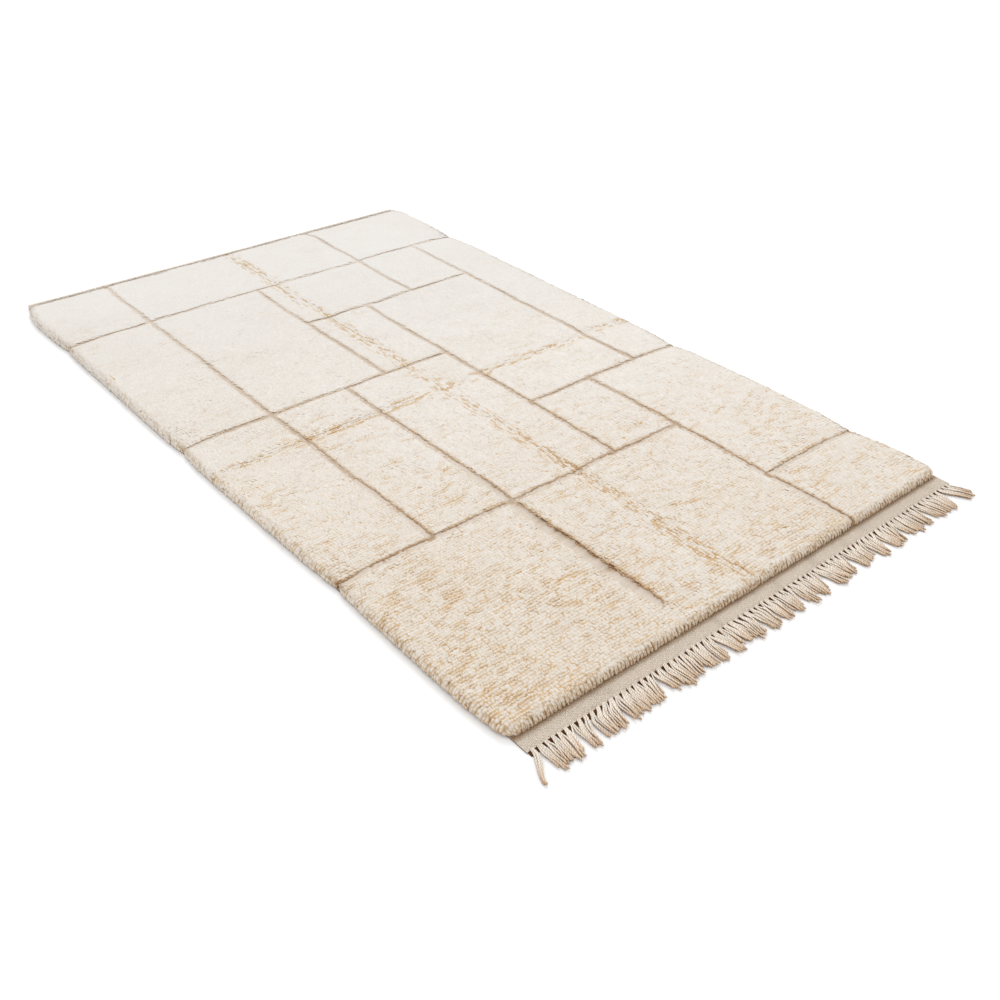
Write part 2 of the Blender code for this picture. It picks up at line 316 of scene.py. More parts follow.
# %% [markdown]
# ## Wool, dyed by nothing
# All of the rug is undyed sheep's wool. Wool is matt and slightly fuzzy: light goes a little
# way into it, so it has no gloss, a high roughness and a faint sheen at its edges. What the
# eye reads is the difference between the cream tips, which the light reaches, and the brown
# shade between the tufts, which is painted into their colours. Each tuft carries four numbers
# for that: how far up it a point is, its own tone, its painted golden shade, and how much
# painted shade its place gets.

# %% What all the wool materials share
# Wool is typically about 0.9 rough. Its fuzz breaks up nearly all of the mirror-like part.
WOOL = {"Roughness": 0.92, "Sheen Roughness": 0.6, "Specular IOR Level": 0.10}
MULTIPLIED = {"data_type": "RGBA", "blend_type": "MULTIPLY"}    # how a shade darkens a colour
print("wool is matt: roughness", WOOL["Roughness"])

# %% Cut wool pile
# Cut ends of thick hand-spun yarn: cream at the tip, golden to brown where the light is lost.
# The gold and the shade below are painted shade: golden in the partings and folds, brown on the walls
# of the lines and under the rim.
GOLDEN_SHADE = "F7EBD6"         # a gold of 1 multiplies the colour by this
BROWN_SHADE = "CBB399"          # and a shade of 1 by this
FLEECE_SCALE = 3.2              # one fleece differs from the next about every 310 mm
FIBRE_SCALE = 1100.0            # fibres are 0.04 mm thick, but drawn 0.9 mm apart, so that they show

cut_wool, add = fresh_material("cut_wool_pile")
tuft = add("Attribute", attribute_name="tuft")
parts = add("SeparateColor", {"Color": tuft})
by_height = add("ValToRGB", {"Fac": (parts, "Red")},
                stops=((0.0, "A27B50"), (0.45, "C0A27E"), (0.72, "D2C1AA"),
                       (0.86, "DDD4C9"), (0.94, "E0DBD4"), (1.0, "E4E2E0")))
golden = add("Mix", {0: (parts, "Blue"), 6: by_height, 7: GOLDEN_SHADE}, **MULTIPLIED)
tone = add("MapRange", {"Value": (parts, "Green"), "To Min": 0.92, "To Max": 1.03})
toned = add("VectorMath", {0: golden, "Scale": tone}, operation="SCALE")
shaded = add("Mix", {0: (tuft, "Alpha"), 6: toned, 7: BROWN_SHADE}, **MULTIPLIED)
places = (add("TexCoord"), "Object")
fleece = add("TexNoise", {"Scale": FLEECE_SCALE, "Detail": 3.0, "Vector": places})
fleece_tone = add("ValToRGB", {"Fac": fleece},
                  stops=((0.3, "FDFCFB"), (0.7, "FFFFFF")))
coloured = add("Mix", {0: 1.0, 6: shaded, 7: fleece_tone}, **MULTIPLIED)
fibres = add("TexNoise", {"Scale": FIBRE_SCALE, "Detail": 2.0, "Vector": places})
fuzz = add("Bump", {"Strength": 0.5, "Distance": 0.0006, "Height": fibres})
shader = add("BsdfPrincipled", {**WOOL, "Base Color": coloured, "Normal": fuzz,
                                "Sheen Weight": 0.10})
add("OutputMaterial", {"Surface": shader})
print("material:", cut_wool.name)

# %% [markdown]
# ## Knot base
# Under the cut tips lie the feet of the knots. They are seen only down the partings and beside
# the carved lines. Little light reaches them, so they look golden brown, and more so near the
# top, where the tufts are packed. One surface with a soft bump is enough for them.

# %% Knot base under the pile
KNOT_SCALE = 130.0              # lumps 7.7 mm apart, about as the knots lie

knot_base, add = fresh_material("shorn_wool_base")
places = (add("TexCoord"), "Object")
apart = add("SeparateXYZ", {"Vector": places})
up = add("MapRange", {"Value": (apart, "Z"), "From Min": 0.0150, "From Max": 0.0185})
tufted = add("TexNoise", {"Scale": KNOT_SCALE, "Detail": 3.0, "Vector": places})
low_wool = add("ValToRGB", {"Fac": tufted}, stops=((0.3, "C6A67F"), (0.7, "DBC3A4")))
deep_wool = add("ValToRGB", {"Fac": tufted}, stops=((0.3, "BE9A70"), (0.7, "D5B88F")))
either = add("Mix", {0: up, 6: low_wool, 7: deep_wool}, data_type="RGBA")
nap = add("Bump", {"Strength": 0.6, "Distance": 0.0012, "Height": tufted})
shader = add("BsdfPrincipled", {**WOOL, "Base Color": either, "Normal": nap,
                                "Sheen Weight": 0.05})
add("OutputMaterial", {"Surface": shader})
print("material:", knot_base.name)

# %% [markdown]
# ## Flat-woven wool
# The ground is a weft-faced weave: the wefts are beaten down until they hide the warps. It
# could be modelled thread by thread, but its threads are finer than a pixel, so waves and
# noise draw them. It is a pinkish beige, with painted shade in the hollows between the threads.

# %% Flat-woven wool
RIB_SCALE = 112.0               # ribs across the rug, 2.8 mm apart, as two wefts lie
# A weft goes over a warp about every 4 mm. These breaks are drawn 10 mm apart, so that they show.
BREAK_SCALE = 62.0
FLECK_SCALE = 330.0             # flecks of thicker yarn 3 mm apart
UNEVEN_SCALE = 22.0             # the wefts waver over about 45 mm
RIM_SHADOW = "C5AC90"           # multiplies the colour under the rim of the pile
EDGE_SHADOW = "95816F"          # and down the cloth's own cut edge

flat_weave, add = fresh_material("flat_woven_wool")
places = (add("TexCoord"), "Object")
uneven = add("TexNoise", {"Scale": UNEVEN_SCALE, "Detail": 2.0, "Vector": places})
pushed = add("VectorMath", {0: (uneven, "Color"), 1: (0.004, 0.004, 0.0), 2: places},
             operation="MULTIPLY_ADD")
ribs = add("TexWave", {"Scale": RIB_SCALE, "Vector": pushed}, bands_direction="Y")
breaks = add("TexWave", {"Scale": BREAK_SCALE, "Vector": pushed}, bands_direction="DIAGONAL")
woven = add("Math", {0: (breaks, "Fac"), 1: 0.2, 2: (ribs, "Fac")}, operation="MULTIPLY_ADD")
fleck = add("TexNoise", {"Scale": FLECK_SCALE, "Detail": 2.0, "Vector": places})
flecked = add("Math", {0: fleck, 1: 2.6, 2: woven}, operation="MULTIPLY_ADD")
grain = add("MapRange", {"Value": flecked, "From Min": 0.8, "From Max": 2.7})
weave_colour = add("ValToRGB", {"Fac": grain}, stops=((0.0, "B29676"), (1.0, "FBF1E3")))
apart = add("SeparateXYZ", {"Vector": places})
from_rim = add("Math", {0: (apart, "Y"), 1: PILE_NEAR}, operation="SUBTRACT")
either_way = add("Math", {0: from_rim}, operation="ABSOLUTE")
under_rim = add("MapRange", {"Value": either_way, "From Min": 0.017, "From Max": 0.001},
                interpolation_type="SMOOTHSTEP")
rim_shade = add("Mix", {0: under_rim, 6: weave_colour, 7: RIM_SHADOW}, **MULTIPLIED)
cut_edge = add("MapRange", {"Value": (apart, "Z"), "From Min": 0.0029, "From Max": 0.0020})
weave_shade = add("Mix", {0: cut_edge, 6: rim_shade, 7: EDGE_SHADOW}, **MULTIPLIED)
# The raised hem is painted paler and more even: painted light on its top, and it is rolled
# tight, so hardly a hollow between its threads shows.
rolled_up = add("MapRange", {"Value": (apart, "Z"), "From Min": 0.004, "From Max": 0.008,
                             "To Max": 0.85})
hem_painted_light = add("Mix", {0: rolled_up, 6: weave_shade, 7: "EADDD1"}, data_type="RGBA")
relief = add("Bump", {"Strength": 0.9, "Distance": 0.0014, "Height": flecked})
shader = add("BsdfPrincipled", {**WOOL, "Base Color": hem_painted_light, "Normal": relief,
                                "Sheen Weight": 0.15})
add("OutputMaterial", {"Surface": shader})
print("material:", flat_weave.name)

# %% [markdown]
# ## Twisted cord wool
# A cord of the fringe is two-ply yarn: pale where a ply stands out, with painted shade in the
# crease between two plies and down the cord's sides. The plies could be modelled as two wound
# tubes, but there are hundreds of cords and each is a few pixels wide. So each point of a cord
# knows how far round it lies and how many turns the twist has made there, and the material
# winds the plies from that.

# %% Twisted cord wool
# One turn of the twist is about 15 mm long, so the plies are drawn about 7.5 mm apart. The
# bump raises them.
YARN_SCALE = 900.0              # the yarn's fibres, drawn 1.1 mm apart, so that they show
FLANK_SHADOW = "CBB397"         # multiplies the colour down the sides of a cord
TIP_DARKENING_AND_LOW_SHADE = "DAC0A2"         # and towards its tip, and as painted shade on the cords below

cord_wool, add = fresh_material("two_ply_wool")
strand = add("Attribute", attribute_name="strand")
parts = add("SeparateColor", {"Color": strand})
wound = add("Math", {0: (parts, "Red"), 1: (parts, "Green")}, operation="SUBTRACT")
wound_angle = add("Math", {0: wound, 1: 2 * math.pi}, operation="MULTIPLY")
wave = add("Math", {0: wound_angle}, operation="SINE")
ply_height = add("Math", {0: wave}, operation="ABSOLUTE")
# The dark end of the ply ramp is painted shade in the crease between the plies.
ply = add("ValToRGB", {"Fac": ply_height},
          stops=((0.0, "D2B898"), (0.22, "DFCFBA"), (0.50, "E8DDCF"), (1.0, "F3EEE6")))
from_middle = add("Math", {0: (parts, "Red"), 1: 0.5}, operation="SUBTRACT")
from_top = add("Math", {0: from_middle}, operation="ABSOLUTE")
flank = add("MapRange", {"Value": from_top, "From Min": 0.12, "From Max": 0.26},
            interpolation_type="SMOOTHSTEP")
flanked = add("Mix", {0: flank, 6: ply, 7: FLANK_SHADOW}, **MULTIPLIED)
tip_darkening_and_low_shade = add("Mix", {0: (strand, "Alpha"), 6: flanked, 7: TIP_DARKENING_AND_LOW_SHADE}, **MULTIPLIED)
tone = add("MapRange", {"Value": (parts, "Blue"), "To Min": 0.90, "To Max": 1.04})
toned = add("VectorMath", {0: tip_darkening_and_low_shade, "Scale": tone}, operation="SCALE")
places = (add("TexCoord"), "Object")
fibres = add("TexNoise", {"Scale": YARN_SCALE, "Detail": 2.0, "Vector": places})
raised = add("Math", {0: fibres, 1: 0.3, 2: ply_height}, operation="MULTIPLY_ADD")
fuzz = add("Bump", {"Strength": 0.7, "Distance": 0.0010, "Height": raised})
shader = add("BsdfPrincipled", {**WOOL, "Base Color": toned, "Normal": fuzz,
                                "Sheen Weight": 0.10})
add("OutputMaterial", {"Surface": shader})
print("material:", cord_wool.name)

# %% [markdown]
# ## Painted shadow under the cloth's edge
# Between the roots of the cords the floor lies in the shadow of the cloth's edge, where no
# light reaches. A near-black brown with flecks of lit fibre is painted there as that shadow,
# and gives the eye its depth.

# %% Painted shadow under the cloth's edge
SHADOW_FLECK_SCALE = 260.0              # flecks 3.8 mm apart, lit fibre in the painted shadow

painted_edge_shadow, add = fresh_material("painted_shadow_under_edge")
places = (add("TexCoord"), "Object")
fleck = add("TexNoise", {"Scale": SHADOW_FLECK_SCALE, "Detail": 2.0, "Vector": places})
dark = add("ValToRGB", {"Fac": fleck}, stops=((0.3, "3A2010"), (0.75, "6B4526")))
rough = add("Bump", {"Strength": 0.6, "Distance": 0.0008, "Height": fleck})
shader = add("BsdfPrincipled", {**WOOL, "Base Color": dark, "Normal": rough,
                                "Sheen Weight": 0.0})
add("OutputMaterial", {"Surface": shader})
print("material:", painted_edge_shadow.name)

# %% [markdown]
# ## The shape of the pile's top
# The tips of the tufts make one soft surface: level in the middle, lumpy by a few
# millimetres, sunk along the folds, thinner at the hem, and rolled down over the rim. Rows of
# knots run across the rug and go over its sides, so a tuft's place is worked out in two
# steps. First it has a place (s, t) on the pile laid out flat. Then whatever lies past the
# core of the rug is rolled over the rim.

# %% Sizes of the pile's top
LUMP = 0.0029                   # height and width of its lumps
LUMP_SIZE = 0.160
SMALL_LUMP_SIZE = 0.070
LINE_WOBBLE = 0.0045            # how far a hand-carved line wanders, and over which length
LINE_WOBBLE_SIZE = 0.220
CREASE_SPREAD = 0.018           # half the width of a fold, and its depth
CREASE_DEEP = 0.0032
FLAT_PAST_CORE = 0.018          # the pile stays level for this much past the core
ROLL_RADIUS = CORNER_RADIUS - FLAT_PAST_CORE
ROLL_PER_RADIAN = 0.015         # pile used up by each radian of the roll
ROLL_MIDDLE = 0.011             # height at which the rim stands furthest out
ROLL_UNDER = 0.007              # and how far it goes on below that
EDGE_DIP = 0.0100               # how far the pile sinks where a line runs out over a long side
EDGE_DRAWN_IN = 0.0080          # how far the side is drawn in there
EDGE_DIP_REACH = 0.060          # and how far along the side that is felt
CORE_X = HALF_PILE - CORNER_RADIUS
CORE_NEAR = PILE_NEAR + CORNER_RADIUS
CORE_FAR = PILE_FAR - CORNER_RADIUS
print("the level core is", round(2 * CORE_X, 3), "by", round(CORE_FAR - CORE_NEAR, 3), "m")


# %% How the sides and the lines wander
def side_drawn_in(x, y):
    """How far the side on x's own hand is drawn in at y."""
    rows = np.array(SIDE_DRAWN_IN)
    left = np.interp(y, rows[:, 0], rows[:, 1])
    right = np.interp(y, rows[:, 0], rows[:, 2])
    return np.where(x < 0, left, right)


def line_end_share(x, y):
    """How close each place is to where a line runs out over its long side, from 0 to 1."""
    felt = np.zeros(np.shape(x))
    for runs, place, start, end in CARVED:
        for side, stop in ((-1, start), (1, end)):
            if runs == "width" and stop == side * HALF_PILE:
                here = np.exp(-np.abs(y - place) / EDGE_DIP_REACH)
                felt = np.maximum(felt, here * (np.sign(x) == side))
    return felt


def wander(x, y):
    """Shifts places by the slow wobble of hand-carved lines and by the sides' outline."""
    hold_x = 1 - np.minimum(1, np.abs(x) / HALF_PILE) ** 6
    middle = (PILE_NEAR + PILE_FAR) / 2
    hold_y = 1 - np.minimum(1, np.abs(y - middle) / (PILE_FAR - middle)) ** 8
    shift_x = LINE_WOBBLE * smooth_noise(x, y, LINE_WOBBLE_SIZE, 6) * hold_x
    shift_y = LINE_WOBBLE * smooth_noise(x, y, LINE_WOBBLE_SIZE, 7) * hold_y
    drawn = side_drawn_in(x, y) * x / HALF_PILE
    drawn = drawn + EDGE_DRAWN_IN * line_end_share(x, y) * np.sign(x) * np.abs(x / HALF_PILE) ** 12
    return x + shift_x - drawn + MIDDLE_SHIFT, y + shift_y


print("both sides at the middle:", np.round(wander(np.array([-0.75, 0.75]), np.zeros(2))[0], 4))


# %% Height of the pile's top
def crease_share(x, y):
    """How strongly each place is folded, from 0 to about 1."""
    share = np.zeros(np.shape(x))
    for runs, place in CREASES:
        across, along = (x, y) if runs == "length" else (y, x)
        strength = 0.75 + 0.5 * smooth_noise(along, np.full(np.shape(along), place), 0.3, 2)
        share = np.maximum(share, strength * np.exp(-((across - place) / CREASE_SPREAD) ** 2))
    return share


def edge_dip(x, y):
    """How far the pile's top sinks beside the places where lines run out over a long side."""
    near_side = np.clip((np.abs(x) - (HALF_PILE - 0.12)) / 0.10, 0, 1) ** 1.5
    return EDGE_DIP * line_end_share(x, y) * near_side


def top_height(x, y):
    """Height of the pile's tips, as if no line were carved into it."""
    taper = np.clip((y - (PILE_FAR - FAR_TAPER)) / FAR_TAPER, 0, 1)
    top = PILE_TOP + (FAR_TOP - PILE_TOP) * taper
    lumps = smooth_noise(x, y, LUMP_SIZE, 4) + 0.6 * smooth_noise(x, y, SMALL_LUMP_SIZE, 5)
    return top + LUMP * lumps * (1 - 0.6 * taper) - CREASE_DEEP * crease_share(x, y) - edge_dip(x, y)


print("height at the middle:", round(float(top_height(np.zeros(1), np.zeros(1))[0]), 4))


# %% Rolled over the rim
def rolled(s, t):
    """Plan place, way out and turn of places on the pile once it is rolled over its rim."""
    past_x = np.sign(s) * np.maximum(0, np.abs(s) - CORE_X)
    past_y = np.maximum(0, t - CORE_FAR) - np.maximum(0, CORE_NEAR - t)
    past = np.hypot(past_x, past_y)
    way_x = past_x / np.maximum(past, 1e-9)
    way_y = past_y / np.maximum(past, 1e-9)
    turn = np.maximum(0, past - FLAT_PAST_CORE) / ROLL_PER_RADIAN
    out = np.minimum(past, FLAT_PAST_CORE) + ROLL_RADIUS * np.sin(turn)
    return s - past_x + out * way_x, t - past_y + out * way_y, way_x, way_y, turn


def pile_surface(s, t):
    """(places, outward normals, turn) of the pile's top for arrays of (s, t)."""
    x, y, way_x, way_y, turn = rolled(s, t)
    top = top_height(x, y)
    above = ROLL_MIDDLE + (top - ROLL_MIDDLE) * np.cos(turn)
    below = ROLL_MIDDLE + ROLL_UNDER * np.cos(turn)
    z = np.where(turn < math.pi / 2, above, below)
    side = np.sin(turn)
    normals = np.stack([way_x * side, way_y * side, np.cos(turn)], axis=-1)
    x, y = wander(x, y)
    return np.stack([x, y, z], axis=-1), normals, turn


low, _, _ = pile_surface(np.array([0.0, 0.749, -0.749]), np.array([0.0, -0.5, 1.2]))
print("top at the middle and near both sides:", np.round(low, 4).tolist())

# %% [markdown]
# ## One tuft
# A knot leaves two ends of yarn standing up, pressed together into one tuft. From a step away
# each tuft is a small rounded end that narrows to its foot. Tens of thousands of them are
# needed, so it is modelled once with very few faces: a five-sided cone whose base is poked down
# to a foot. Its base is wide enough to run into its neighbours, and the copies are stretched,
# turned and leaned when they are put in their places.

# %% Model of a tuft
TUFT_BELLY = 0.76               # where a tuft is widest, as a part of its height


def take_model(piece):
    """(points, faces) of a finished model, which is then removed."""
    select_none()
    points = np.array([v.co for v in piece.data.vertices])
    faces = [list(face.vertices) for face in piece.data.polygons]
    bpy.data.objects.remove(piece)
    return points, faces


def poke_end(piece, towards, offset):
    """Pokes the end face whose normal points up (1) or down (-1) out into a point."""
    shape = bmesh.from_edit_mesh(piece.data)
    for face in shape.faces:
        face.select_set(face.normal.z * towards > 0.9)
    bmesh.update_edit_mesh(piece.data)
    bpy.ops.mesh.poke(offset=offset)


select_none()
bpy.ops.mesh.primitive_cone_add(vertices=5, radius1=0.82, radius2=0.0, depth=1.0 - TUFT_BELLY,
                                end_fill_type="NGON", location=(0.0, 0.0, (1.0 + TUFT_BELLY) / 2))
tuft_model = bpy.context.object
bpy.ops.object.mode_set(mode="EDIT")
bpy.ops.mesh.select_mode(type="FACE")
poke_end(tuft_model, -1, TUFT_BELLY)
bpy.ops.object.mode_set(mode="OBJECT")
bpy.ops.object.transform_apply(location=True, rotation=True, scale=True)
field_tuft = take_model(tuft_model)
print("a tuft has", len(field_tuft[0]), "points and", len(field_tuft[1]), "faces,",
      "from", round(field_tuft[0][:, 2].min(), 3), "to", round(field_tuft[0][:, 2].max(), 3))

# %% [markdown]
# ## Rows of knots
# The weaver ties a row of knots right across the rug, beats in a few wefts and ties the next
# row. So the tufts stand close together in a row and the rows stay a little apart. Rows are
# never quite straight, and no tuft is quite where it should be.

# %% Places of the tufts
ROW_PITCH = 0.0088
TUFT_PITCH = 0.0054
RIM_ROW_PITCH = 0.0052          # tufts fan out over the rim, so more rows show there
ROLL_MOST = math.radians(128)   # how far the rim rolls under
ROLL_AT_HEM = math.radians(78)
PAIRED_ROWS = 0.0009            # how far a row's end shifts towards its partner at the sides
PAIRED_TUFTS = 0.0010           # and a tuft towards its partner at the fringed end

draw = np.random.default_rng(417)
reach = FLAT_PAST_CORE + ROLL_PER_RADIAN * ROLL_MOST
hem_reach = FLAT_PAST_CORE + ROLL_PER_RADIAN * ROLL_AT_HEM
first_row = CORE_NEAR - 0.9 * FLAT_PAST_CORE
row_places = np.concatenate([np.arange(CORE_NEAR - reach, first_row, RIM_ROW_PITCH),
                             np.arange(first_row, CORE_FAR + hem_reach, ROW_PITCH)])
tuft_places = np.arange(-CORE_X - reach, CORE_X + reach, TUFT_PITCH)
row_of, place_of = np.meshgrid(np.arange(len(row_places)), np.arange(len(tuft_places)), indexing="ij")
t = row_places[row_of] + draw.normal(0, 0.0008, row_of.shape)
stagger = 0.5 * (np.arange(len(row_places)) % 2) + draw.normal(0, 0.10, len(row_places))
s = tuft_places[place_of] + stagger[:, None] * TUFT_PITCH + draw.normal(0, 0.0008, row_of.shape)
# Along the length fold the tufts fall into files, and the fold opens between them.
in_fold = np.exp(-((s - CREASES[0][1]) / (1.6 * CREASE_SPREAD)) ** 4)
s = s - in_fold * stagger[:, None] * TUFT_PITCH
t = t + 0.0080 * smooth_noise(s, t, 0.23, 21) + 0.0046 * smooth_noise(s, t, 0.06, 22)
t = t + 0.0016 * smooth_noise(s, t, 0.021, 23)
# At the sides the ends of the rows stick together in pairs, with a brown gap between pairs.
side_rim = np.clip((np.abs(s) - CORE_X - 0.6 * FLAT_PAST_CORE) / 0.016, 0, 1)
t = t + PAIRED_ROWS * side_rim * np.where(row_of % 2 == 0, 1, -1)
end_rim = np.clip((CORE_NEAR - 0.8 * FLAT_PAST_CORE - t) / 0.012, 0, 1)
s = s + end_rim * (PAIRED_TUFTS * np.where(place_of % 2 == 0, 1, -1) - stagger[:, None] * TUFT_PITCH)
print(len(row_places), "rows of", len(tuft_places), "tufts")

# %% [markdown]
# ## Carved lines
# Once the rug is off the loom, its maker cuts lines into the pile with curved scissors. Away
# from a line's middle one side slopes down to it and the other stands up as a ragged wall. The
# lines could be cut out of the pile with a boolean, but thousands of small tufts would come
# apart. Here each tuft is told how far it is cut down, and whether it belongs to a wall, and
# those on the bare floor of a line are left out.

# %% Sizes of a carved line
NEAR_LINE = -0.225              # this line is cut wider towards the fringe
NEAR_LINE_STOP = 0.080          # and has closed over this far from the rim
FLOOR_TO_WALL = 0.0022          # a line's floor reaches this far towards its wall
FLOOR_TO_SLOPE = 0.0056         # and this far towards its slope
NEAR_FLOOR = 0.0075             # how much wider that floor is on the wide line
WALL_SPREAD = 0.0060            # the wall on the far side of a line is steep
WALL_TUFTS = 0.0055             # where the tufts of the wall stand, and how far they spread
SLOPE_SPREAD = 0.0150           # and the near side slopes down to it
LINE_SINK = 0.0040              # how far the tufts in a carved line are cut down
NEAR_LINE_SINK = 0.0080
RAGGED = ((0.0030, 0.010, 31), (0.0018, 0.045, 32))     # (how far, over which length, layer)


def looser(s, t):
    """How much looser the pile is, from 0 at the far end to 1 at the near left corner."""
    return np.clip(0.42 - 0.10 * s / HALF_PILE - 0.46 * t / 1.2, 0, 1)


def fading(s, t):
    """The share of a line that shows: the tighter pile at the far end closes over it."""
    return np.clip(0.36 + 0.9 * looser(s, t) + 0.30 * smooth_noise(s, t, 0.09, 33), 0, 1)


def widened(place, along):
    """How much wider a line is cut, from 0 to 1: the near line widens and closes at its end."""
    if place != NEAR_LINE:
        return np.zeros(np.shape(along))
    closing = np.clip((along - PILE_NEAR - NEAR_LINE_STOP) / 0.070, 0.15, 1)
    return np.clip((-0.35 - along) / 0.45, 0, 1) * closing


def line_ends(runs, place, start, end, over):
    """Where a line starts and ends, once it runs on over the rims that it reaches."""
    if place == NEAR_LINE:
        return start + NEAR_LINE_STOP, end
    first = start - (over if start == RUG_EDGES[runs][0] else 0)
    return first, end + (over if end == RUG_EDGES[runs][1] else 0)


print("looser at the far end and near the fringe:", np.round(looser(0.0, np.array([1.2, -1.2])), 2))


# %% How a line is cut
def carved(s, t):
    """(how far cut down, shares of the wall and the floor, way across as x and y, bare)."""
    sink = np.zeros(np.shape(s))
    bare = np.zeros(np.shape(s), bool)
    wall, floor, opening, way_x, way_y = (np.zeros(np.shape(s)) for _ in range(5))
    kept = fading(s, t)
    shown = kept * (0.34 + 0.66 * np.clip(1.4 * looser(s, t), 0, 1))
    ragged = sum(far * smooth_noise(s, t, size, layer) for far, size, layer in RAGGED)
    for runs, place, start, end in CARVED:
        across, along = (s, t) if runs == "length" else (t, s)
        wide = widened(place, along)
        first, last = line_ends(runs, place, start, end, 0.2)
        beyond = np.maximum(0, np.maximum(first - along, along - last))
        aside = across - place + ragged * (1 + 0.8 * wide)
        floor_end = FLOOR_TO_SLOPE + wide * NEAR_FLOOR
        past_wall = np.hypot(np.maximum(0, aside - FLOOR_TO_WALL), beyond)
        past_wall /= WALL_SPREAD * (1 + 0.8 * wide)
        past_slope = np.hypot(np.maximum(0, -aside - floor_end), beyond) / SLOPE_SPREAD
        down = np.clip(1 - np.where(aside > 0, past_wall, past_slope), 0, 1)
        down = down * down * (3 - 2 * down)
        depth = (LINE_SINK + (NEAR_LINE_SINK - LINE_SINK) * wide) * down * (0.35 + 0.65 * kept)
        wall_reach = WALL_TUFTS * (1 + 0.7 * wide)
        here_wall = np.exp(-((aside - wall_reach) / wall_reach) ** 2)
        here_wall *= np.exp(-(beyond / 0.004) ** 2)
        here_floor = down * np.exp(-np.maximum(0, -aside - 0.004 - 0.004 * wide) / 0.005)
        on_floor = (aside < 0.0025) & (aside > -floor_end - 0.0015) & (beyond <= 0)
        bare |= on_floor
        opening = np.maximum(opening, on_floor * np.clip((0.0025 - aside) / 0.0020, 0, 1))
        closer = depth > sink
        sink = np.where(closer, depth, sink)
        floor = np.maximum(floor, here_floor)
        wall = np.maximum(wall, here_wall)
        side = np.sign(aside)
        way_x = np.where(closer, side if runs == "length" else 0.0, way_x)
        way_y = np.where(closer, 0.0 if runs == "length" else side, way_y)
    return sink, wall * (1 - opening) * shown, floor * shown, way_x, way_y, bare


at_line = carved(np.full(1, 0.140), np.zeros(1))
print("cut down in a line by", round(float(at_line[0][0]) * 1000, 2), "mm")

# %% Leave out what lies past the rim or on a line's floor
past_x = np.maximum(0, np.abs(s) - CORE_X)
past_y = np.maximum(0, t - CORE_FAR) + np.maximum(0, CORE_NEAR - t)
past = np.hypot(past_x, past_y)
at_hem = (t > CORE_FAR) & (past_y > 0)
inside = past < np.where(at_hem, hem_reach, reach)
s, t, row_of = s[inside], t[inside], row_of[inside]
# Over the rim the tufts close in from both sides, so none are left out there.
on_line_floor = carved(s, t)[5] & (past[inside] < FLAT_PAST_CORE + 0.5 * ROLL_PER_RADIAN)
s, t, row_of = s[~on_line_floor], t[~on_line_floor], row_of[~on_line_floor]
sink, wall, floor_share, line_x, line_y, _ = carved(s, t)
print(len(s), "tufts are kept")


# %% [markdown]
# ## How the tufts lean
# Wool pile never stands straight. It lies a little towards the fringe, it droops over the
# rim, it falls into the carved lines, and here and there two neighbours lean apart and show
# a golden parting between them. Partings follow the lines where a stretched noise changes
# sign: the tufts on its two sides lean away from each other.

# %% Partings and leans
PARTED = 0.0012                 # how far each side of a parting is pushed away


def parting(s, t, size_s, size_t, layer, width):
    """(lean in s, lean in t, how open) near the lines where a stretched noise is zero."""
    here = smooth_noise(s, t, size_s, layer, size_t)
    small = 0.05
    slope_s = (smooth_noise(s + small * size_s, t, size_s, layer, size_t) - here) / small
    slope_t = (smooth_noise(s, t + small * size_t, size_s, layer, size_t) - here) / small
    steep = np.hypot(slope_s / size_s, slope_t / size_t) + 1e-6
    open_share = np.exp(-(here / (steep * width)) ** 2)
    side = np.sign(here)
    lean_s = side * slope_s / size_s / steep * open_share
    lean_t = side * slope_t / size_t / steep * open_share
    return lean_s, lean_t, open_share


crease = crease_share(s, t)
near_left = looser(s, t)
patch = np.clip(1.15 * near_left - 0.12 + 0.7 * smooth_noise(s, t, 0.21, 41), 0, 1)
row_s, row_t, row_open = parting(s, t, 0.115, 0.028, 42, 0.0085)
row_mask = patch * np.clip(smooth_noise(s, t, 0.060, 43, 0.022) * 2.8 + 0.15, 0, 1)
opened = row_open * row_mask
apart_s = PARTED * row_s * row_mask
apart_t = PARTED * row_t * row_mask
# A fold opens the pile in many short dashes that run along it.
length_fold = np.exp(-((s - CREASES[0][1]) / (1.5 * CREASE_SPREAD)) ** 4)
length_dash = length_fold * np.clip(smooth_noise(s, t, 0.0048, 45, 0.032) * 4.5 - 0.55, 0, 1)
width_fold = np.exp(-((t - CREASES[1][1]) / (1.3 * CREASE_SPREAD)) ** 4)
width_dash = width_fold * np.clip(smooth_noise(s, t, 0.034, 49, 0.0080) * 4.5 - 0.55, 0, 1)
lean_s = 0.0006 * draw.normal(0, 1, len(s)) + 0.0008 * smooth_noise(s, t, 0.035, 46)
lean_t = 0.0006 * draw.normal(0, 1, len(s)) + 0.0008 * smooth_noise(s, t, 0.035, 47) - 0.0012
# The tufts of a wall lean out over the line.
lean_s -= 0.0006 * wall * line_x
lean_t -= 0.0006 * wall * line_y
print("most open parting:", round(float(opened.max()), 2))

# %% Sizes of the tufts
HANG = 0.0045                   # how far the tip of a tuft at the rim hangs below its foot
END_HANG = 0.0024               # and how much further at the fringed end
BEAD_WIDE = 1.34                # tufts run into each other along a row
BEAD_DEEP = 1.36                # and across the rows, where the pile is tight
LOOSER_BEAD = -0.32             # but less so where it is looser
SIDE_LOCK = 1.90                # at the left side they are drawn out down the slope
RIGHT_LOCK = 1.15               # and at the right side they stay short
END_LOCK = 1.30
LOWEST_TUFT = 0.0034            # no point of a tuft goes below this, just over the cloth
print("a tuft is about", round(TUFT_PITCH * BEAD_WIDE * 1000, 1), "mm wide and",
      round(ROW_PITCH * BEAD_DEEP * 1000, 1), "mm deep")

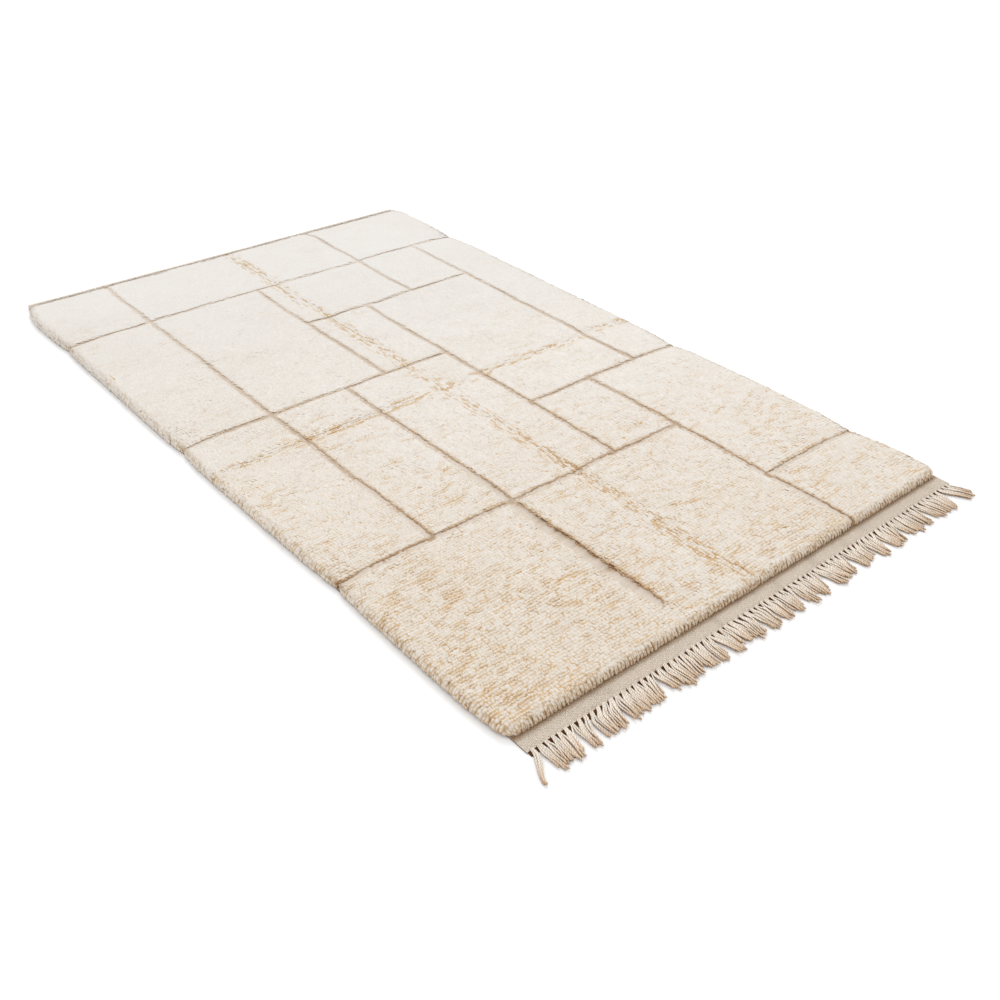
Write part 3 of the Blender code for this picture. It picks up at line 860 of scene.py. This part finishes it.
# %% Which way each tuft stands
places3, normals, turn = pile_surface(s, t)
step_x, step_y, _, _, step_turn = rolled(s + 0.001, t)
here_x, here_y, _, _, _ = rolled(s, t)
down = np.where(turn > 0, -(step_turn - turn) * ROLL_RADIUS * np.sin(turn), 0)
along = np.stack([step_x - here_x, step_y - here_y, down], axis=-1)
along = along - normals * (along * normals).sum(-1, keepdims=True)
length = np.linalg.norm(along, axis=-1, keepdims=True)
along = np.where(length > 1e-5, along / np.maximum(length, 1e-9), [1.0, 0.0, 0.0])
across = np.cross(normals, along)
print("the rim turns by up to", round(math.degrees(float(turn.max()))), "degrees")

# %% How wide, deep and tall each tuft is, and how it hangs
spin = draw.uniform(0, 2 * math.pi, len(s))
rim_share = np.clip(turn / 0.9, 0, 1)
_, _, way_x, way_y, _ = rolled(s, t)
over_side = rim_share * way_x ** 2
over_end = np.clip((turn - 0.4) / 0.8, 0, 1) * way_y ** 2 * (way_y < 0)
wide = TUFT_PITCH * draw.normal(1, 0.12, len(s))
run_in = BEAD_WIDE + LOOSER_BEAD * near_left
side_lock = np.where(way_x < 0, SIDE_LOCK, RIGHT_LOCK)
wide *= run_in + (side_lock - run_in) * over_side + (0.98 - run_in) * over_end
deep = ROW_PITCH * draw.normal(1, 0.09, len(s))
tight = BEAD_DEEP + LOOSER_BEAD * near_left
deep *= tight + (END_LOCK - tight) * over_end
# The tufts beside a carved line are trimmed, so that they don't hang over it.
trimmed = np.maximum(np.clip(sink / LINE_SINK, 0, 1), wall)
wide *= 1 - 0.25 * trimmed * np.abs(line_x)
deep *= 1 - 0.42 * trimmed * np.abs(line_y)
tall = 0.0034 + 0.0042 * near_left + 0.0034 * rim_share * (1 - 0.5 * near_left)
on_floor = np.clip(sink / NEAR_LINE_SINK, 0, 1) * (wall < 0.3)
proud = draw.normal(0, 0.00045, len(s)) * (0.3 + 0.7 * near_left) * (1 - on_floor)
proud += 0.0005 - sink - 0.0005 * opened
proud += rim_share * (0.0007 * draw.normal(0, 1, len(s)) + 0.0007)
lean = along * lean_s[:, None] + across * lean_t[:, None]
# Past the top of the rim a tuft hangs down over those below it, like thatch.
down_rim = np.stack([way_x * np.cos(turn), way_y * np.cos(turn), -np.sin(turn)], axis=-1)
hang = (HANG + END_HANG * over_end) * np.clip((turn - 0.3) / 0.9, 0, 1)
hang = hang * np.clip((2.3 - turn) / 0.9, 0, 1)
hang = hang * draw.uniform(0.6, 1.3, len(s))
lean = lean + down_rim * hang[:, None]
print("a rim tuft hangs by up to", round(float(hang.max()) * 1000, 1), "mm")


# %% Put a copy of the model in each place
def build_tufts(model, chosen):
    """The points of every chosen tuft, each one a copy of the model in its own place."""
    a, b, c = (model[:, i][None, :, None] for i in range(3))
    cos_spin, sin_spin = np.cos(spin[chosen])[:, None, None], np.sin(spin[chosen])[:, None, None]
    turned_a, turned_b = a * cos_spin - b * sin_spin, a * sin_spin + b * cos_spin
    foot = places3[chosen] + normals[chosen] * (proud - tall)[chosen][:, None]
    foot = foot + along[chosen] * apart_s[chosen][:, None] + across[chosen] * apart_t[chosen][:, None]
    points = (foot[:, None, :]
              + normals[chosen][:, None, :] * c * tall[chosen][:, None, None]
              + along[chosen][:, None, :] * turned_a * wide[chosen][:, None, None]
              + across[chosen][:, None, :] * turned_b * deep[chosen][:, None, None]
              + lean[chosen][:, None, :] * c ** 2)
    points[:, :, 2] = np.maximum(points[:, :, 2], LOWEST_TUFT)
    return points


print("the first tuft's points:", build_tufts(field_tuft[0], np.array([0])).shape)

# %% [markdown]
# ## Colours of the tufts
# Undyed wool isn't one colour, and the shade inside the pile is painted into it as well. The far
# end is paler and more even, the near left corner is looser and gets more painted golden shade
# between its rows, and the walls of the carved lines get painted brown shade. A texture over the
# whole rug could carry that, but then it wouldn't follow the tufts. Each tuft carries its own
# numbers instead, worked out from its place.

# %% Numbers that colour the tufts
tone_of = 0.56 + 0.20 * draw.normal(0, 1, len(s)) + 0.20 * smooth_noise(s, t, 0.04, 51)
tone_of = np.clip(tone_of - 0.62 * np.clip((t + 0.2) / 1.0, 0, 1), 0, 1)
# The golden shade is painted shade: in the partings, along the folds and their dashes, on the walls of
# the lines, and a little more towards the fringe.
golden_shade_of = 0.4 * opened + 0.12 * crease + 0.9 * (length_dash + width_dash) + 0.75 * wall
golden_shade_of = golden_shade_of + 0.06 * smooth_noise(s, t, 0.12, 52)
golden_shade_of = np.clip(golden_shade_of + 0.06 * np.clip(-t / 1.1, 0, 1), 0, 1)
shade_of = np.clip(0.30 * floor_share + 0.64 * wall + 0.16 * wall ** 4, 0, 1)
# Below the top of the rim the tufts get painted shade, more at the fringed end and on the left side
# than on the right.
low_rim = np.clip((turn - 0.8) / 0.6, 0, 1)
shade_of = np.maximum(shade_of, (0.20 - 0.12 * way_x + 0.65 * over_end) * low_rim)
# Here and there the furrow between two rows is open, and more painted golden shade shows there.
loose = (0.3 + 1.1 * near_left) * smooth_noise(s, t, 0.028, 53, 0.010)
loose = np.clip(loose + 0.25 * smooth_noise(s, t, 0.2, 54) + 0.95 * near_left - 0.1, 0, 1.6)
spots = np.clip(3.0 * smooth_noise(s, t, 0.030, 55, 0.0095) - 1.0 + 0.8 * near_left, 0, 1)
left = near_left * np.clip((-0.20 - s) / 0.30, 0, 1)
# in_row and between_rows darken each tuft towards its neighbours: painted shade in the furrows. It is
# stronger at the near left, in the dashes of the folds, on the walls of the lines and at the fringed
# end, stronger on the left side of the rim and weaker on its right.
between_rows = 0.30 + 1.15 * loose + (2.4 + 2.4 * left) * spots * patch ** 2 + 1.6 * opened
between_rows += 0.5 * left
between_rows += 3.6 * width_dash + 0.5 * length_dash + 1.5 * wall ** 3
between_rows += (1.1 - between_rows) * over_end + 0.6 * over_side * np.where(way_x < 0, 1, -0.5)
in_row = 0.30 + 1.00 * near_left + 4.0 * length_dash + 0.3 * width_dash + 1.5 * wall ** 3
in_row += (4.4 - in_row) * over_end
print("tone", round(float(tone_of.mean()), 2), "gold", round(float(golden_shade_of.mean()), 2),
      "shade", round(float(shade_of.mean()), 2))


# %% Give them to the points of each tuft
FOOT_SHADE = 0.1                # how far up a tuft its foot counts as, which makes it brown


def tuft_values(model, chosen):
    """Height up the tuft with painted shade towards its edge, tone, golden shade and shade at each
    point.
    """
    values = np.empty((len(chosen), len(model), 4))
    a, b, high = (model[:, i][None, :] for i in range(3))
    cos_spin, sin_spin = np.cos(spin[chosen])[:, None], np.sin(spin[chosen])[:, None]
    ring = np.hypot(a, b).max()
    along_row = ((a * cos_spin - b * sin_spin) / ring) ** 2
    to_next_row = ((a * sin_spin + b * cos_spin) / ring) ** 2
    deeper = in_row[chosen][:, None] * along_row + between_rows[chosen][:, None] * to_next_row
    values[:, :, 0] = np.where(high > 0.3, 1 - (1 - high) * deeper, FOOT_SHADE).clip(0, 1)
    values[:, :, 1] = tone_of[chosen][:, None]
    values[:, :, 2] = golden_shade_of[chosen][:, None]
    # A tuft of a wall is brown right up to its tip, because the tip is turned away from the light.
    values[:, :, 3] = shade_of[chosen][:, None] * (1.0 - (0.5 - 0.4 * wall[chosen][:, None]) * high)
    return values


print("numbers for each point of a tuft:", tuft_values(field_tuft[0], np.array([0])).shape[2])

# %% Bands of the field, and the rim
# One mesh of all the tufts would be too heavy to handle, so the field is made in bands.
BANDS = 5
RIM_TURN = 0.30                 # past this turn a tuft belongs to the rim
at_rim = turn > RIM_TURN
band_of = np.where(at_rim, BANDS, row_of * BANDS // len(row_places))
bands = []
for band in range(BANDS + 1):
    points_of, faces_of = field_tuft
    chosen = np.flatnonzero(band_of == band)
    name = "pile_rim_tufts" if band == BANDS else f"pile_tufts_{band + 1}"
    mesh = mesh_of_copies(name, build_tufts(points_of, chosen), faces_of, 70)
    paint(mesh, "tuft", tuft_values(points_of, chosen))
    bands.append(place_piece(mesh, cut_wool))
    print(name, len(chosen), "tufts,", triangles(bands[-1]), "triangles")

# %% [markdown]
# ## Under the tufts
# Down a parting the eye sees the feet of the tufts. They are one surface, so a copy of the CAD
# pile is used, cut finer, sunk a little under the tips and drawn in at the rim. In the carved
# lines the wool is shorn too short to show as tufts. There a low ribbon of felted wool runs
# along each line: it is the line's floor, and it fills its two sides under the tufts.

# %% Pile bed
BED_SUNK = 0.0008               # how far it lies under the tips
LOOSE_BED_SUNK = 0.0003         # and how much deeper where the pile is looser
BED_INSET = 0.0034              # how far it is drawn in from the rim
FAR_BED_INSET = 0.0040
INSET_FROM, INSET_OVER = 0.045, 0.030   # the drawing in starts this far from an edge
LONG_EDGE = 0.030               # edges longer than this are divided
BED_TOP = 0.0095                # points above this are on top of the pile
BED_SHOULDER = 0.0140           # and above this at the rim
BED_CUTS = (-0.012, -0.006, 0.0, 0.006, 0.012)  # where beside a point a line is looked for

select_none()
pile_bed = place_piece(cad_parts["knotted_pile"].data.copy(), knot_base)
pile_bed.name = pile_bed.data.name = "pile_bed"
pile_bed.data.materials.clear()
pile_bed.data.materials.append(knot_base)
edit_all(pile_bed)
bpy.ops.mesh.remove_doubles(threshold=0.00005)
shape = bmesh.from_edit_mesh(pile_bed.data)
long_edges = [e for e in shape.edges
              if e.calc_length() > LONG_EDGE and min(v.co.z for v in e.verts) > BED_TOP]
bmesh.ops.subdivide_edges(shape, edges=long_edges, cuts=3, use_grid_fill=True)
bmesh.update_edit_mesh(pile_bed.data)
bpy.ops.object.mode_set(mode="OBJECT")
bed = np.array([v.co for v in pile_bed.data.vertices])
print("the bed has", len(bed), "points")

# %% Sink the bed under the tips and draw it in at the rim
# Where each point lies on the pile before it wanders, found by stepping back three times.
flat_s, flat_t = bed[:, 0].copy(), bed[:, 1].copy()
for _ in range(3):
    moved_x, moved_y = wander(flat_s, flat_t)
    flat_s += bed[:, 0] - moved_x
    flat_t += bed[:, 1] - moved_y
in_core = (np.abs(flat_s) < CORE_X) & (flat_t > CORE_NEAR) & (flat_t < CORE_FAR)
top_side = in_core & (bed[:, 2] > BED_TOP)
sunk = top_height(flat_s, flat_t) - BED_SUNK - LOOSE_BED_SUNK * looser(flat_s, flat_t)
# Its points lie far apart, so those beside a line are sunk as deep as the line is cut.
cuts = [carved(flat_s + aside * (across == 0), flat_t + aside * (across == 1))[0]
        for aside in BED_CUTS for across in (0, 1)]
sunk -= np.max(cuts, axis=0)
high = ~top_side & (bed[:, 2] > BED_SHOULDER)
rim_sunk = BED_SUNK + 1.2 * edge_dip(flat_s, flat_t)
bed[high, 2] -= rim_sunk[high] * np.clip((bed[high, 2] - BED_SHOULDER) / 0.004, 0, 1)
bed[top_side, 2] = sunk[top_side]
side = np.clip((np.abs(bed[:, 0]) - (HALF_PILE - INSET_FROM)) / INSET_OVER, 0, 1)
drawn_in = BED_INSET + EDGE_DRAWN_IN * line_end_share(bed[:, 0], bed[:, 1])
bed[:, 0] -= np.sign(bed[:, 0]) * side * drawn_in
near = np.clip((PILE_NEAR + INSET_FROM - bed[:, 1]) / INSET_OVER, 0, 1)
far = np.clip((bed[:, 1] - (PILE_FAR - INSET_FROM)) / INSET_OVER, 0, 1)
bed[:, 1] += near * BED_INSET - far * FAR_BED_INSET
pile_bed.data.vertices.foreach_set("co", bed.astype(np.float32).ravel())
pile_bed.data.update()
pile_bed.data.shade_smooth()
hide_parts("knotted_pile")
print("bed:", triangles(pile_bed), "triangles, top at", round(float(bed[:, 2].max()), 4))

# %% Floor of one carved line
FLOOR_STEP = 0.006
# Places across a line, from its wall to its slope, and how far the ribbon lies over the tips.
WALL_COLUMNS = ((0.0095, -0.0014), (0.0060, -0.0004), (0.0030, 0.0004), (-0.0010, 0.0003))
SLOPE_COLUMNS = ((0.0, 0.0003), (0.0045, 0.0), (0.0090, -0.0008), (0.0135, -0.0018))
FLOOR_THICK = 0.0016
FLOOR_OVER_RIM = 0.75           # the share of the rim that it runs on over
NEAR_FLOOR_PAST = 0.010         # it runs this far past the end of the near line


def line_floor(runs, place, start, end):
    """(rings of points, numbers that colour them) of the ribbon along one line."""
    core_start, core_end = (CORE_NEAR, CORE_FAR) if runs == "length" else (-CORE_X, CORE_X)
    far_reach = hem_reach if runs == "length" else reach
    if place == NEAR_LINE:
        start += NEAR_LINE_STOP - NEAR_FLOOR_PAST
    elif start == RUG_EDGES[runs][0]:
        start = core_start - FLOOR_OVER_RIM * reach
    if end == RUG_EDGES[runs][1]:
        end = core_end + FLOOR_OVER_RIM * far_reach
    along = np.linspace(start, end, round((end - start) / FLOOR_STEP))
    wide = widened(place, along)
    floor_end = -FLOOR_TO_SLOPE - NEAR_FLOOR * wide
    asides = [np.full(len(along), aside) for aside, _ in WALL_COLUMNS] + [0.5 * floor_end]
    asides += [floor_end - past for past, _ in SLOPE_COLUMNS]
    across = place + np.stack(asides, axis=1)
    lift = np.array([rise for _, rise in WALL_COLUMNS + SLOPE_COLUMNS[:1] + SLOPE_COLUMNS])
    along = np.broadcast_to(along[:, None], across.shape)
    s, t = (across, along) if runs == "length" else (along, across)
    places, normals, _ = pile_surface(s, t)
    sink, wall, floor, _, _, _ = carved(s, t)
    lumps = 0.0006 * smooth_noise(s, t, 0.006, 71)
    top = places + normals * (lift + lumps - sink)[:, :, None]
    under = top[:, [-1, 0]] - normals[:, [-1, 0]] * FLOOR_THICK
    shade = 0.16 + 0.72 * floor + 0.25 * wall + 0.14 * smooth_noise(s, t, 0.007, 73)
    values = np.stack([0.87 - 0.06 * floor, 0.5 + smooth_noise(s, t, 0.004, 72), 0.05 + 0 * s,
                       np.clip(shade, 0, 1)], axis=-1)
    values = np.concatenate([values, values[:, [-1, 0]]], axis=1)
    return np.concatenate([top, under], axis=1), values


print("the first line's floor has", len(line_floor(*CARVED[0])[0]), "rings")

# %% Floors of all the carved lines
points, faces, shades = [], [], []
for line in CARVED:
    rings, values = line_floor(*line)
    count, ring, _ = rings.shape
    faces += tube_faces(count, ring, sum(len(part) for part in points))
    points.append(rings.reshape(-1, 3))
    shades.append(values.reshape(-1, 4))
mesh = bpy.data.meshes.new("line_floors")
mesh.from_pydata(np.concatenate(points).tolist(), [], faces)
paint(mesh, "tuft", np.concatenate(shades))
mesh.shade_smooth()
line_floors = place_piece(mesh, cut_wool)
face_out(line_floors)
print("line floors:", triangles(line_floors), "triangles")

# %% [markdown]
# ## Ground cloth
# The ground is one cloth, woven flat. It shows as a bare strip beside the fringe, along the
# thin edge under the rim, and at the far end, where it is rolled over into a hem. A grid is
# laid on the floor, its rows are moved to the sizes of the cloth, and it is given a thickness
# by extruding it, so that it stays one closed skin.

# %% Rows of the ground cloth
# The rolled hem's outline: (share of its depth, share of its height).
HEM_ROLL = ((0.01, 0.50), (0.05, 0.80), (0.18, 0.94), (0.42, 1.0), (0.62, 0.94), (0.80, 0.72),
            (0.93, 0.42), (1.0, 0.05))
CLOTH_COLUMNS = 150


def cloth_rows():
    """(y, top height) of the cloth's rows, from the fringed edge to the hem."""
    hem = HEM_END - HEM_DEPTH
    strip = [STRIP_EDGE + 0.0062 * i for i in range(9)]
    rows = [(y, GROUND_THICK) for y in strip + [-0.9, -0.4, 0.1, 0.6, 1.05, 1.215, hem]]
    roll = HEM_HIGH - GROUND_THICK
    return rows + [(hem + deep * HEM_DEPTH, GROUND_THICK + high * roll) for deep, high in HEM_ROLL]


rows = cloth_rows()
print(len(rows), "rows of", CLOTH_COLUMNS + 1, "points")

# %% Ground cloth
select_none()
bpy.ops.mesh.primitive_grid_add(x_subdivisions=CLOTH_COLUMNS, y_subdivisions=len(rows) - 1, size=2.0)
cloth = bpy.context.object
cloth.name = cloth.data.name = "ground_cloth"
edit_all(cloth)
bpy.ops.mesh.extrude_region_move(TRANSFORM_OT_translate={"value": (0.0, 0.0, 1.0)})
bpy.ops.object.mode_set(mode="OBJECT")
plain = np.array([v.co for v in cloth.data.vertices])
row = np.rint((plain[:, 1] + 1) / 2 * (len(rows) - 1)).astype(int)
on_top = plain[:, 2] > 0.5
y, top = np.array(rows)[row].T
x = plain[:, 0] * (HALF_GROUND - side_drawn_in(plain[:, 0], y)) + MIDDLE_SHIFT
in_hem = y > HEM_END - HEM_DEPTH + 0.0001
x = np.where(in_hem & (plain[:, 0] < -0.999), x - HEM_NUB, x)
edge_wave = 0.0009 * smooth_noise(x, y, 0.05, 61)
hem_wave = 0.0012 * smooth_noise(x, y, 0.12, 1)
cloth_wave = 0.0004 * smooth_noise(x, y, 0.03, 62)
top = np.where(in_hem, top + hem_wave, top + cloth_wave)
y = np.where(row == 0, y + edge_wave, y)
flat = np.stack([x, y, np.where(on_top, top, 0.0)], axis=-1)
cloth.data.vertices.foreach_set("co", flat.astype(np.float32).ravel())
cloth.data.update()
face_out(cloth)
bpy.ops.object.shade_smooth_by_angle(angle=math.radians(50))
cloth.data.materials.append(flat_weave)
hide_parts("ground_weave")
print("cloth:", triangles(cloth), "triangles")

# %% [markdown]
# ## Fringe
# The fringe is the warp itself, twisted into two-ply cords. Each cord leaves the woven edge,
# drops to the floor in about a centimetre and lies there, and neighbours fall together into
# clumps. A cord is a slightly uneven tube along its own path. The two plies that wind round it
# are left to its material, because hundreds of modelled twists would be too heavy.

# %% Plan of the cords
GROUP_PITCH = 0.0175            # the warps are tied off in small groups this far apart
GROUP_SPREAD = 0.0028           # how far apart the roots of one group lie
TIP_PITCH = (0.0028, 0.0046)    # spacing of the tips inside a clump
CORNER_LEAN = (-0.036, 0.024)
CLUMP_LEANS = (-0.011, -0.008, -0.003, 0.0, 0.003, 0.006, 0.010)


def cord_plan(draw):
    """(root, place once fanned out, tip, length) of every cord, from left to right."""
    half = HALF_GROUND - SIDE_DRAWN_IN[0][1] - 0.003
    groups = round(2 * half / GROUP_PITCH)
    roots = []
    for group in range(groups):
        middle = -half + 2 * half * (group + 0.5) / groups + draw.uniform(-0.0015, 0.0015)
        count = draw.choice((3, 4, 4, 3, 3))
        for k in range(count):
            roots.append(middle + (k - (count - 1) / 2) * GROUP_SPREAD)
    total = len(roots)
    fanned = [-half + 2 * half * (i + 0.5) / total for i in range(total)]
    plan = []
    first = 0
    while first < total:
        size = min(draw.choice((5, 6, 7, 8, 10)) if first else 3, total - first)
        if total - first - size < 4:
            size = total - first
        middle = sum(fanned[first:first + size]) / size
        lean = draw.choice(CLUMP_LEANS)
        if first == 0:
            lean = CORNER_LEAN[0]
        elif first + size == total:
            lean = CORNER_LEAN[1]
        clump_length = draw.uniform(0.82, 0.98) if first else 1.04
        pitch = draw.uniform(*TIP_PITCH)
        for k in range(size):
            share = (k - (size - 1) / 2)
            rounded = 1 - 0.12 * (2 * share / size) ** 2
            length = FRINGE_LENGTH * min(1.0, clump_length * rounded * draw.uniform(0.86, 1.08))
            place = first + k
            share += draw.uniform(-0.9, 0.9)
            plan.append((roots[place], fanned[place], middle + lean + share * pitch, length))
        first += size
    return plan


plan = cord_plan(random.Random(42))
print(len(plan), "cords, the longest", round(max(cord[3] for cord in plan), 4))

# %% Sizes of a cord
CORD_STEPS = 16                 # rings along a cord, and along one of those below
LOW_CORD_STEPS = 9
CORD_SIDES = 8
CORD_RADIUS = 0.0025
CORD_TURN = 0.0150              # length of one whole turn of the twist
CORD_START = 0.0025             # how far under the cloth's edge a cord starts
CORD_HIGH = 0.0050              # and how high
CORD_DROP = 0.012               # it has come down to the floor this far on
LOWEST_CORD = 0.0001


def smooth_step(part):
    part = np.clip(part, 0, 1)
    return part * part * (3 - 2 * part)


print("a cord is", round(2000 * CORD_RADIUS, 1), "mm thick at most")


# %% Points of one cord
def cord_points(root, fanned, tip, length, draw, paleness=1.0, steps=CORD_STEPS):
    """The rings of one cord, and the numbers that colour each of their points."""
    part = np.concatenate([np.linspace(0, 0.94, steps - 3), [0.968, 0.989, 1.0]])
    sway = draw.uniform(0.0006, 0.0036)
    phase = draw.uniform(0, 6.3)
    x = root + (fanned - root) * smooth_step(part / 0.40)
    x = x + (tip - fanned) * smooth_step((part - 0.1) / 0.9) + MIDDLE_SHIFT
    x = x + sway * np.sin(part * draw.uniform(5, 9) + phase) * part * (1 - 0.4 * part)
    start, end = STRIP_EDGE + CORD_START, STRIP_EDGE - length
    y = start + (end - start) * part
    size = draw.uniform(0.80, 0.98) * (0.55 + 0.45 * paleness)
    drop = smooth_step((start - y) / CORD_DROP)
    lift = draw.choice((0.0005, 0.0010, 0.0030)) * smooth_step(part / 0.3) * (paleness > 0.9)
    z = CORD_HIGH + (0.0031 * size - CORD_HIGH) * drop + 0.0006 * np.sin(part * 9 + phase) ** 2 + lift
    middle = np.stack([x, y, z], axis=-1)
    ahead = np.gradient(middle, axis=0)
    ahead /= np.linalg.norm(ahead, axis=1, keepdims=True)
    side = np.cross(ahead, [0.0, 0.0, 1.0])
    side /= np.linalg.norm(side, axis=1, keepdims=True)
    over = np.cross(side, ahead)
    travelled = np.concatenate(([0], np.cumsum(np.linalg.norm(np.diff(middle, axis=0), axis=1))))
    end_round = np.sqrt(np.clip(1 - ((part - 0.955) / 0.047).clip(0, 1) ** 2, 0.02, 1))
    begin_round = 0.60 + 0.40 * smooth_step(part / 0.25)
    knuckles = [draw.uniform(0.93, 1.05) for _ in part]
    reach = CORD_RADIUS * size * end_round * begin_round * knuckles
    # The points go round from the floor side, so that the join of the pattern lies below.
    angle = np.arange(CORD_SIDES) / CORD_SIDES * 2 * math.pi
    rings = (middle[:, None, :] - side[:, None, :] * np.outer(reach, np.sin(angle))[:, :, None]
             - over[:, None, :] * np.outer(reach * 0.92, np.cos(angle))[:, :, None])
    rings[:, :, 2] = np.maximum(rings[:, :, 2], LOWEST_CORD)
    # A cord gets darker towards its tip, and a cord below gets painted shade through its lower
    # paleness.
    tip_darkening = 0.55 * smooth_step((part - 0.30) / 0.55) + 0.25 * smooth_step((part - 0.86) / 0.12)
    values = np.empty((steps, CORD_SIDES, 4))
    values[:, :, 0] = (angle / (2 * math.pi))[None, :]
    values[:, :, 1] = (travelled / CORD_TURN * draw.uniform(0.75, 1.25) + phase)[:, None]
    values[:, :, 2] = draw.random()
    values[:, :, 3] = np.clip(tip_darkening + 1.3 * (1 - paleness), 0, 1)[:, None]
    return rings.reshape(-1, 3), values.reshape(-1, 4)


print("one cord has", CORD_STEPS * CORD_SIDES, "points")

# %% Cords of the fringe
def lay_cords(name, made, steps):
    """One piece of many cords, each made by cord_points."""
    points = np.stack([rings for rings, _ in made])
    mesh = mesh_of_copies(name, points, tube_faces(steps, CORD_SIDES))
    paint(mesh, "strand", np.stack([values for _, values in made]))
    print(name, len(made), "cords, lowest at", round(float(points[:, :, 2].min()), 5))
    return place_piece(mesh, cord_wool)


draw_cords = random.Random(77)
fringe_cords = lay_cords("fringe_cords", [cord_points(*cord, draw_cords) for cord in plan], CORD_STEPS)
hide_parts("fringe")
print("cords:", triangles(fringe_cords), "triangles")

# %% Cords that lie below
# Between two cords a third one, thinner and in shade, lies on the floor. Its browner colour is
# painted shade. Little of it shows, so it has fewer rings.
LOW_CORD_PALENESS = 0.72        # thinner and browner than a cord on top, which has 1
LOW_CORD_SHORTER = 0.95
CLUMP_GAP = 0.011               # tips further apart than this belong to two clumps
made = []
for before, after in zip(plan, plan[1:]):
    _, fanned, tip, length = ((a + b) / 2 for a, b in zip(before, after))
    if after[2] - before[2] < CLUMP_GAP:
        made.append(cord_points(before[0], fanned, tip, length * LOW_CORD_SHORTER, draw_cords,
                                LOW_CORD_PALENESS, LOW_CORD_STEPS))
low_cords = lay_cords("fringe_cords_below", made, LOW_CORD_STEPS)
print("cords below:", triangles(low_cords), "triangles")

# %% [markdown]
# ## Painted shadow strip
# Between the roots of the cords the eye sees a dark, ragged strip: the shadow under the
# cloth's edge, painted on a thin bar whose free edge is divided and roughened. It could be
# hundreds more cords, but no single one shows. So it is a thin bar whose free edge is divided
# and roughened.

# %% Painted shadow strip between the roots of the cords
SHADOW_STRIP_DEEP = 0.0120
SHADOW_STRIP_HIGH = 0.0029
SHADOW_STRIP_LIP = 0.0009            # height of its ragged free edge
select_none()
bpy.ops.mesh.primitive_cube_add(size=1.0, location=(0.0, 0.0, 0.0))
shadow_strip = bpy.context.object
shadow_strip.name = shadow_strip.data.name = "painted_shadow_strip"
half = HALF_GROUND - SIDE_DRAWN_IN[0][1] - 0.002
edit_all(shadow_strip)
bpy.ops.transform.resize(value=(2 * half, SHADOW_STRIP_DEEP, SHADOW_STRIP_HIGH))
bpy.ops.transform.translate(value=(MIDDLE_SHIFT, STRIP_EDGE - 0.0057, 0.0016))
shape = bmesh.from_edit_mesh(shadow_strip.data)
long_edges = [e for e in shape.edges if abs(e.verts[0].co.x - e.verts[1].co.x) > 0.1]
bmesh.ops.subdivide_edges(shape, edges=long_edges, cuts=299, use_grid_fill=True)
for vert in shape.verts:
    if vert.co.y < STRIP_EDGE - 0.005:
        ragged = noise.noise(Vector((vert.co.x / 0.006, 3.1, 0.0)))
        vert.co.y += 0.0022 * ragged
        vert.co.z = min(vert.co.z, SHADOW_STRIP_LIP)
bmesh.update_edit_mesh(shadow_strip.data)
bpy.ops.object.mode_set(mode="OBJECT")
face_out(shadow_strip)
shadow_strip.data.materials.append(painted_edge_shadow)
print("heading:", triangles(shadow_strip), "triangles")

# %% [markdown]
# ## What rides on what
# The rug is one body, and every piece moves with it.

# %% Bodies
cords = [fringe_cords, low_cords, shadow_strip]
pile = [pile_bed, line_floors] + bands
for piece, slot in ([(cloth, "ground_wool")] + [(piece, "pile_wool") for piece in pile]
                    + [(piece, "fringe_wool") for piece in cords]):
    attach(piece, "root")
print("additions:", sum(triangles(p) for p in [cloth] + pile + cords))

# %% [markdown]
# ## Studio
# The rug lies on a white floor in soft light. A white sky lights it evenly from all round, and
# one large soft lamp behind it on the right gives the carved lines their shade on the side
# that faces the camera, on top of the brown shade that is painted there.

# %% Floor
FLOOR_SIZE = 60.0
FLOOR_BELOW = 0.0004            # the floor lies this far under the rug, so that they don't touch
select_none()
bpy.ops.mesh.primitive_plane_add(size=FLOOR_SIZE, location=(0.0, 0.0, -FLOOR_BELOW))
floor = bpy.context.object
floor.name = "studio_floor"
white_paint, add = fresh_material("matt_white_floor")
add("OutputMaterial", {"Surface": add("BsdfDiffuse", {"Color": "F7F7F7"})})
floor.data.materials.append(white_paint)
floor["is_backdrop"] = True
print("floor:", FLOOR_SIZE, "m wide")

# %% Sky and lamp
SKY_STRENGTH = 1.03
LAMP_PLACE = (8.8, 12.0, 12.4)
LAMP_SIZE = 6.8
LAMP_ENERGY = 1120.0
sky = bpy.data.worlds.new("white_sky")
bpy.context.scene.world = sky
sky.use_nodes = True
sky.node_tree.nodes["Background"].inputs["Color"].default_value = (1.0, 1.0, 1.0, 1.0)
sky.node_tree.nodes["Background"].inputs["Strength"].default_value = SKY_STRENGTH

select_none()
bpy.ops.object.light_add(type="AREA", location=LAMP_PLACE)
lamp = bpy.context.object
lamp.name = "soft_lamp"
lamp.data.shape = "SQUARE"
lamp.data.size = LAMP_SIZE
lamp.data.energy = LAMP_ENERGY
lamp.data.color = (1.0, 0.99, 0.98)
lamp.rotation_euler = (Vector((0, -0.2, 0)) - lamp.location).to_track_quat("-Z", "Y").to_euler()
bpy.context.scene.view_settings.view_transform = "Standard"
print("lamp at", LAMP_PLACE)

# %% Size of what is shown
low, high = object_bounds()
print("visual box:", [round(v, 4) for v in low], [round(v, 4) for v in high])
